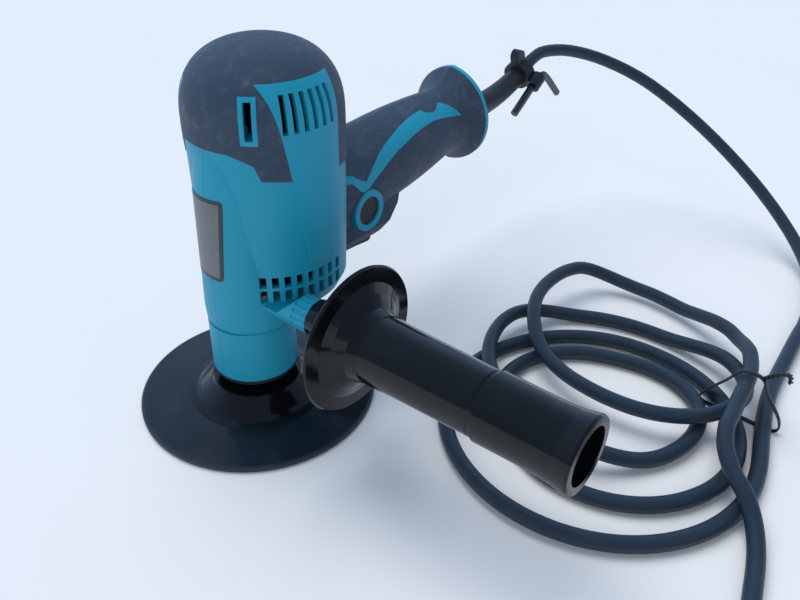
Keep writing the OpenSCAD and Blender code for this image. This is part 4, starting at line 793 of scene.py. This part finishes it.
class POLISHER_OT_lay_cord(bpy.types.Operator):
    """Sweep the cord from the guard through its tied loops to the plug"""

    bl_idname = "polisher.lay_cord"
    bl_label = "Lay cord"

    def execute(self, context):
        sizes = context.scene.polisher_cord
        path = cord_path()
        cord = new_piece("cord", rings_along(path, sizes.diameter / 2, sizes.sides, UP), "cord",
                         uv=length_uv(path, sizes.sides))
        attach(cord, "tool")
        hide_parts("cord_lead", "cord_coil", "cord_tail")
        inner = smooth_line(GUARD_ROUTE[:-1], steps=4) * MM
        lead = new_piece("cord_inside", rings_along(inner, sizes.diameter / 2, sizes.sides, UP), "cord",
                         uv=length_uv(inner, sizes.sides))
        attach(lead, "tool")
        plug = self.make_plug()
        tie = self.make_tie()
        return {"FINISHED"}

    def make_plug(self):
        """Plug: rounded-box sections (superellipses) along its axis, from the sleeve to the flat face, with
        finger grooves where a sine takes a little off the width."""
        line = smooth_line(PLUG_SECTIONS, steps=5)
        along = np.clip(np.maximum.accumulate(line[:, 0:1]), 0, PLUG_SECTIONS[-1, 0])
        start, end = GROOVE_SPAN
        groove = GROOVE_DEPTH * np.sin((along - GROOVE_FIRST) * 2 * np.pi / GROOVE_PITCH)
        groove = groove * eased((along - start) / GROOVE_EASE) * eased((end - along) / GROOVE_EASE)
        a = angles_round(PLUG_SIDES)
        power = 2 / line[:, 3:4]
        wide = (line[:, 1:2] - np.abs(groove)) * np.sign(np.cos(a)) * np.abs(np.cos(a)) ** power
        tall = line[:, 2:3] * np.sign(np.sin(a)) * np.abs(np.sin(a)) ** power
        turn = np.radians(PLUG_HEADING)
        way = np.array([np.cos(turn), np.sin(turn), 0])
        side = np.cross(UP, way)
        grid = (np.array(TAIL_ROUTE[-1]) + along[..., None] * way + wide[..., None] * side
                + tall[..., None] * UP) * MM
        plug = new_piece("plug", grid, "satin")
        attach(plug, "tool")
        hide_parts("plug_body")
        return plug

    def make_tie(self):
        """Tie: a closed smooth loop round the strands, carried with a flat oval section, and a twisted end of
        two wires that wind round a short curve."""
        steps = 6
        count = len(TIE_LOOP) * steps
        # The middle one of three rounds, so that its ends meet smoothly
        loop = smooth_line(TIE_LOOP * 3, steps)[count:2 * count]
        way = np.roll(loop, -1, axis=0) - np.roll(loop, 1, axis=0)
        out = np.stack([way[:, 1], -way[:, 0]], axis=1)
        out /= np.linalg.norm(out, axis=1, keepdims=True)
        a = angles_round(BAND_SIDES)
        thick = TIE_HALF_THICK * np.sin(a)
        flat = loop[:, None] + thick[None, :, None] * out[:, None]
        flat[..., 1] = np.maximum(flat[..., 1], FLOOR_GAP)
        x = np.broadcast_to(TIE_X + TIE_HALF_WIDTH * np.cos(a), flat.shape[:2])
        tie = new_piece("cord_tie_band", np.dstack([x, flat]) * MM, "satin", rows_close=True)
        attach(tie, "tool")
        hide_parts("cord_tie")
        end = smooth_line(TIE_END, steps=16) * MM
        side, top = frames_along(end, ACROSS)
        turn = np.linspace(0, 2 * np.pi * TIE_END_TURNS, len(end))[:, None]
        for number, start in enumerate((0, np.pi)):
            strand = end + TIE_WIRE_OFF * MM * (np.cos(turn + start) * side + np.sin(turn + start) * top)
            rings = rings_along(strand, TIE_WIRE_R * MM, WIRE_SIDES, ACROSS)
            twist = new_piece(f"cord_tie_end_{number + 1}", rings, "satin")
            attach(twist, "tool")
        return tie


class POLISHER_OT_make_guard(bpy.types.Operator):
    """Sweep the tapered cord guard with its hidden flange and rounded tip"""

    bl_idname = "polisher.make_guard"
    bl_label = "Make cord guard"

    def execute(self, context):
        """Guard: circles along the guard's route, flange first, then a straight taper, a rounded lip and back
        along the bore, so that the surface closes on itself."""
        sizes = context.scene.polisher_cord
        line = smooth_line(GUARD_ROUTE, steps=8) * MM
        line = line[line[:, 0] >= GUARD_START * MM - 1e-9]
        run = (line[:, 0] - line[0, 0]) / (line[-1, 0] - line[0, 0])
        radii = sizes.guard_foot + (sizes.guard_tip - sizes.guard_foot) * run
        radii = radii + GUARD_BEAD * MM * np.exp(-(((run - GUARD_BEAD_AT) / GUARD_BEAD_REACH) ** 2))
        radii = np.where(line[:, 0] < FLANGE_END * MM, FLANGE_R * MM, radii)
        radii[-2:] = radii[-2:] - np.array(GUARD_LIP) * MM
        outer = rings_along(line, radii, GUARD_SIDES, UP)
        inner = rings_along(line, GUARD_BORE_R * MM, GUARD_SIDES, UP)[::-1]
        guard = new_piece("cord_guard_sleeve", np.concatenate([outer, inner]), "satin", rows_close=True)
        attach(guard, "tool")
        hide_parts("cord_guard")
        return {"FINISHED"}


class POLISHER_OT_make_key(bpy.types.Operator):
    """Bend the hexagon key that sits in the holder"""

    bl_idname = "polisher.make_key"
    bl_label = "Make key"

    def execute(self, context):
        """Key: a hexagon carried along its bent route, drawn in at both ends as a chamfer."""
        sizes = context.scene.polisher_cord
        line = smooth_line(KEY_ROUTE, steps=6) * MM
        line = np.vstack([line[:1], line[:1] + KEY_CHAMFER_RUN * (line[1] - line[0]), line[1:-1],
                          line[-1:] + KEY_CHAMFER_RUN * (line[-2] - line[-1]), line[-1:]])
        radii = np.full(len(line), sizes.key_radius)
        radii[[0, -1]] *= KEY_CHAMFER
        key = new_piece("hexagon_key", rings_along(line, radii, 6, ACROSS), "dark_steel")
        key.data.polygons.foreach_set("use_smooth", np.zeros(len(key.data.polygons), bool))
        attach(key, "tool")
        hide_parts("hex_key")
        return {"FINISHED"}


class POLISHER_OT_make_springs(bpy.types.Operator):
    """Wind the two return springs of the trigger and the lock"""

    bl_idname = "polisher.make_springs"
    bl_label = "Make springs"

    def execute(self, context):
        wire = context.scene.polisher_cord.wire
        trigger = self.wind("trigger_coil", TRIGGER_SPRING, wire, np.eye(3), "trigger_spring")
        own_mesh(trigger)
        lying = np.array([[1, 0, 0], [0, 0, -1], [0, 1, 0]], float)
        lock = self.wind("lock_coil", LOCK_SPRING, wire, lying, "lock_spring")
        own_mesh(lock)
        return {"FINISHED"}

    def wind(self, name, sizes, wire, turned, node):
        """Spring: a helix whose first and last turns lie closer, carried with a round wire, turned from
        upright and set on its foot."""
        radius, length, foot = (np.array(size) * MM for size in sizes)
        u = np.linspace(0, 1, SPRING_POINTS)
        turn = 2 * np.pi * SPRING_TURNS * u
        rise = wire / 2 + (length - wire) * (u - SPRING_SETTLE * np.sin(2 * np.pi * u))
        line = np.stack([radius * np.cos(turn), radius * np.sin(turn), rise], axis=1)
        rings = rings_along(line, wire / 2, WIRE_SIDES, UP)
        spring = new_piece(name, rings @ turned.T + foot, "steel")
        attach(spring, "tool")
        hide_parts(node)
        return spring


class POLISHER_OT_make_plate(bpy.types.Operator):
    """Lay the bare plate on the front of the shell"""

    bl_idname = "polisher.make_plate"
    bl_label = "Make plate"

    def execute(self, context):
        """Plate: a patch of the shell's front between two heights, as far forward as the farther of the
        barrel's circle and the rounded front's circle, with round corners, a turned edge and a back under the
        skin."""
        lift = context.scene.polisher_cord.plate_lift / MM
        rows, cols = np.meshgrid(*(np.linspace(-1, 1, count) for count in PLATE_GRID), indexing="ij")
        w, v = np.sin(rows * np.pi / 2), np.sin(cols * np.pi / 2)
        reach = np.abs(v) ** PLATE_CORNER * np.abs(w) ** PLATE_CORNER
        v, w = v * (1 - PLATE_DRAW[0] * reach), w * (1 - PLATE_DRAW[1] * reach)
        z = PLATE_MID[1] + PLATE_HALF[1] * w
        y = PLATE_MID[0] + PLATE_LEAN * w + PLATE_HALF[0] * v
        face = front_of_shell(y, z)
        edge = np.maximum(np.abs(cols), np.abs(rows)) > 0.999
        front = face - np.where(edge, lift * PLATE_EDGE, lift)
        outer = np.stack([front, y, z], axis=-1)
        inner = np.stack([face + PLATE_BURIED, y, z], axis=-1)[:, ::-1]
        grid = np.concatenate([outer, inner], axis=1) * MM
        uv = np.stack([(v + 1) / 2, (w + 1) / 2], axis=-1)
        plate = new_piece("front_plate", grid, "plate", uv=np.concatenate([uv, uv[:, ::-1]], axis=1))
        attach(plate, "tool")
        return {"FINISHED"}


class POLISHER_OT_dress_shell(bpy.types.Operator):
    """Finish the housing halves, the soft cap and handle skins, the nose ring and the screws"""

    bl_idname = "polisher.dress_shell"
    bl_label = "Dress shell"

    def execute(self, context):
        dress("teal", "housing_left", "housing_right")
        dress("soft", "cap_left", "cap_right", "grip_left", "grip_right")
        dress("satin", "nose_ring", "key_holder")
        dress("dark_steel", "housing_screws", "gear_screws")
        return {"FINISHED"}


class POLISHER_OT_dress_drive(bpy.types.Operator):
    """Finish the gear case, the spindle, its gear and its bearings"""

    bl_idname = "polisher.dress_drive"
    bl_label = "Dress drive"

    def execute(self, context):
        dress("casting", "gear_case", "gear_cover")
        dress("steel", "spindle", "spindle_gear", "spindle_bearing", "motor_bearing_low", "motor_bearing_top",
              "armature_shaft")
        dress("bronze", "spindle_bush")
        return {"FINISHED"}


class POLISHER_OT_dress_motor(bpy.types.Operator):
    """Finish the armature, the field, the fan and the brush gear"""

    bl_idname = "polisher.dress_motor"
    bl_label = "Dress motor"

    def execute(self, context):
        dress("sheets", "armature_core", "field_core")
        dress("winding", "armature_winding", "field_coils")
        dress("copper", "commutator")
        dress("satin", "fan", "baffle")
        dress("bronze", "brush_holders")
        dress("carbon", "brushes")
        return {"FINISHED"}


class POLISHER_OT_dress_controls(bpy.types.Operator):
    """Finish the switch, the trigger and the lock button"""

    bl_idname = "polisher.dress_controls"
    bl_label = "Dress controls"

    def execute(self, context):
        dress("satin", "switch_body", "trigger", "lock_button")
        return {"FINISHED"}


class POLISHER_OT_dress_pad(bpy.types.Operator):
    """Finish the rubber pad, its hub, washer and bolt"""

    bl_idname = "polisher.dress_pad"
    bl_label = "Dress pad"

    def execute(self, context):
        dress("rubber", "pad")
        dress("gloss", "pad_hub")
        dress("steel", "pad_washer")
        dress("dark_steel", "pad_bolt")
        return {"FINISHED"}


class POLISHER_OT_dress_side_handle(bpy.types.Operator):
    """Finish the side handle, its stud and the plug's blades"""

    bl_idname = "polisher.dress_side_handle"
    bl_label = "Dress side handle"

    def execute(self, context):
        dress("gloss", "side_grip")
        dress("steel", "side_stud", "plug_blades")
        return {"FINISHED"}


OPERATORS = (
    POLISHER_OT_set_stage, POLISHER_OT_lay_cord, POLISHER_OT_make_guard, POLISHER_OT_make_key,
    POLISHER_OT_make_springs, POLISHER_OT_make_plate, POLISHER_OT_dress_shell, POLISHER_OT_dress_drive,
    POLISHER_OT_dress_motor, POLISHER_OT_dress_controls, POLISHER_OT_dress_pad, POLISHER_OT_dress_side_handle,
)
GROUPS = (("polisher_finish", FinishColours), ("polisher_cord", CordSizes), ("polisher_stage", StageSettings))


class POLISHER_PT_dressing(bpy.types.Panel):
    """Lists the pieces, sizes and colours of the polisher"""

    bl_idname = "POLISHER_PT_dressing"
    bl_label = "Polisher"
    bl_space_type = "VIEW_3D"
    bl_region_type = "UI"
    bl_category = "Polisher"

    def draw(self, context):
        for operator in OPERATORS:
            self.layout.operator(operator.bl_idname)
        for group, kind in GROUPS:
            box = self.layout.box()
            for name in kind.__annotations__:
                box.prop(getattr(context.scene, group), name)


def register():
    for group, kind in GROUPS:
        bpy.utils.register_class(kind)
        setattr(bpy.types.Scene, group, bpy.props.PointerProperty(type=kind))
    for kind in OPERATORS + (POLISHER_PT_dressing,):
        bpy.utils.register_class(kind)


def unregister():
    for kind in (POLISHER_PT_dressing,) + OPERATORS[::-1]:
        bpy.utils.unregister_class(kind)
    for group, kind in GROUPS[::-1]:
        delattr(bpy.types.Scene, group)
        bpy.utils.unregister_class(kind)


def main():
    register()
    for kind in OPERATORS:
        getattr(bpy.ops.polisher, kind.bl_idname.split(".")[1])()


if __name__ == "__main__":
    main()
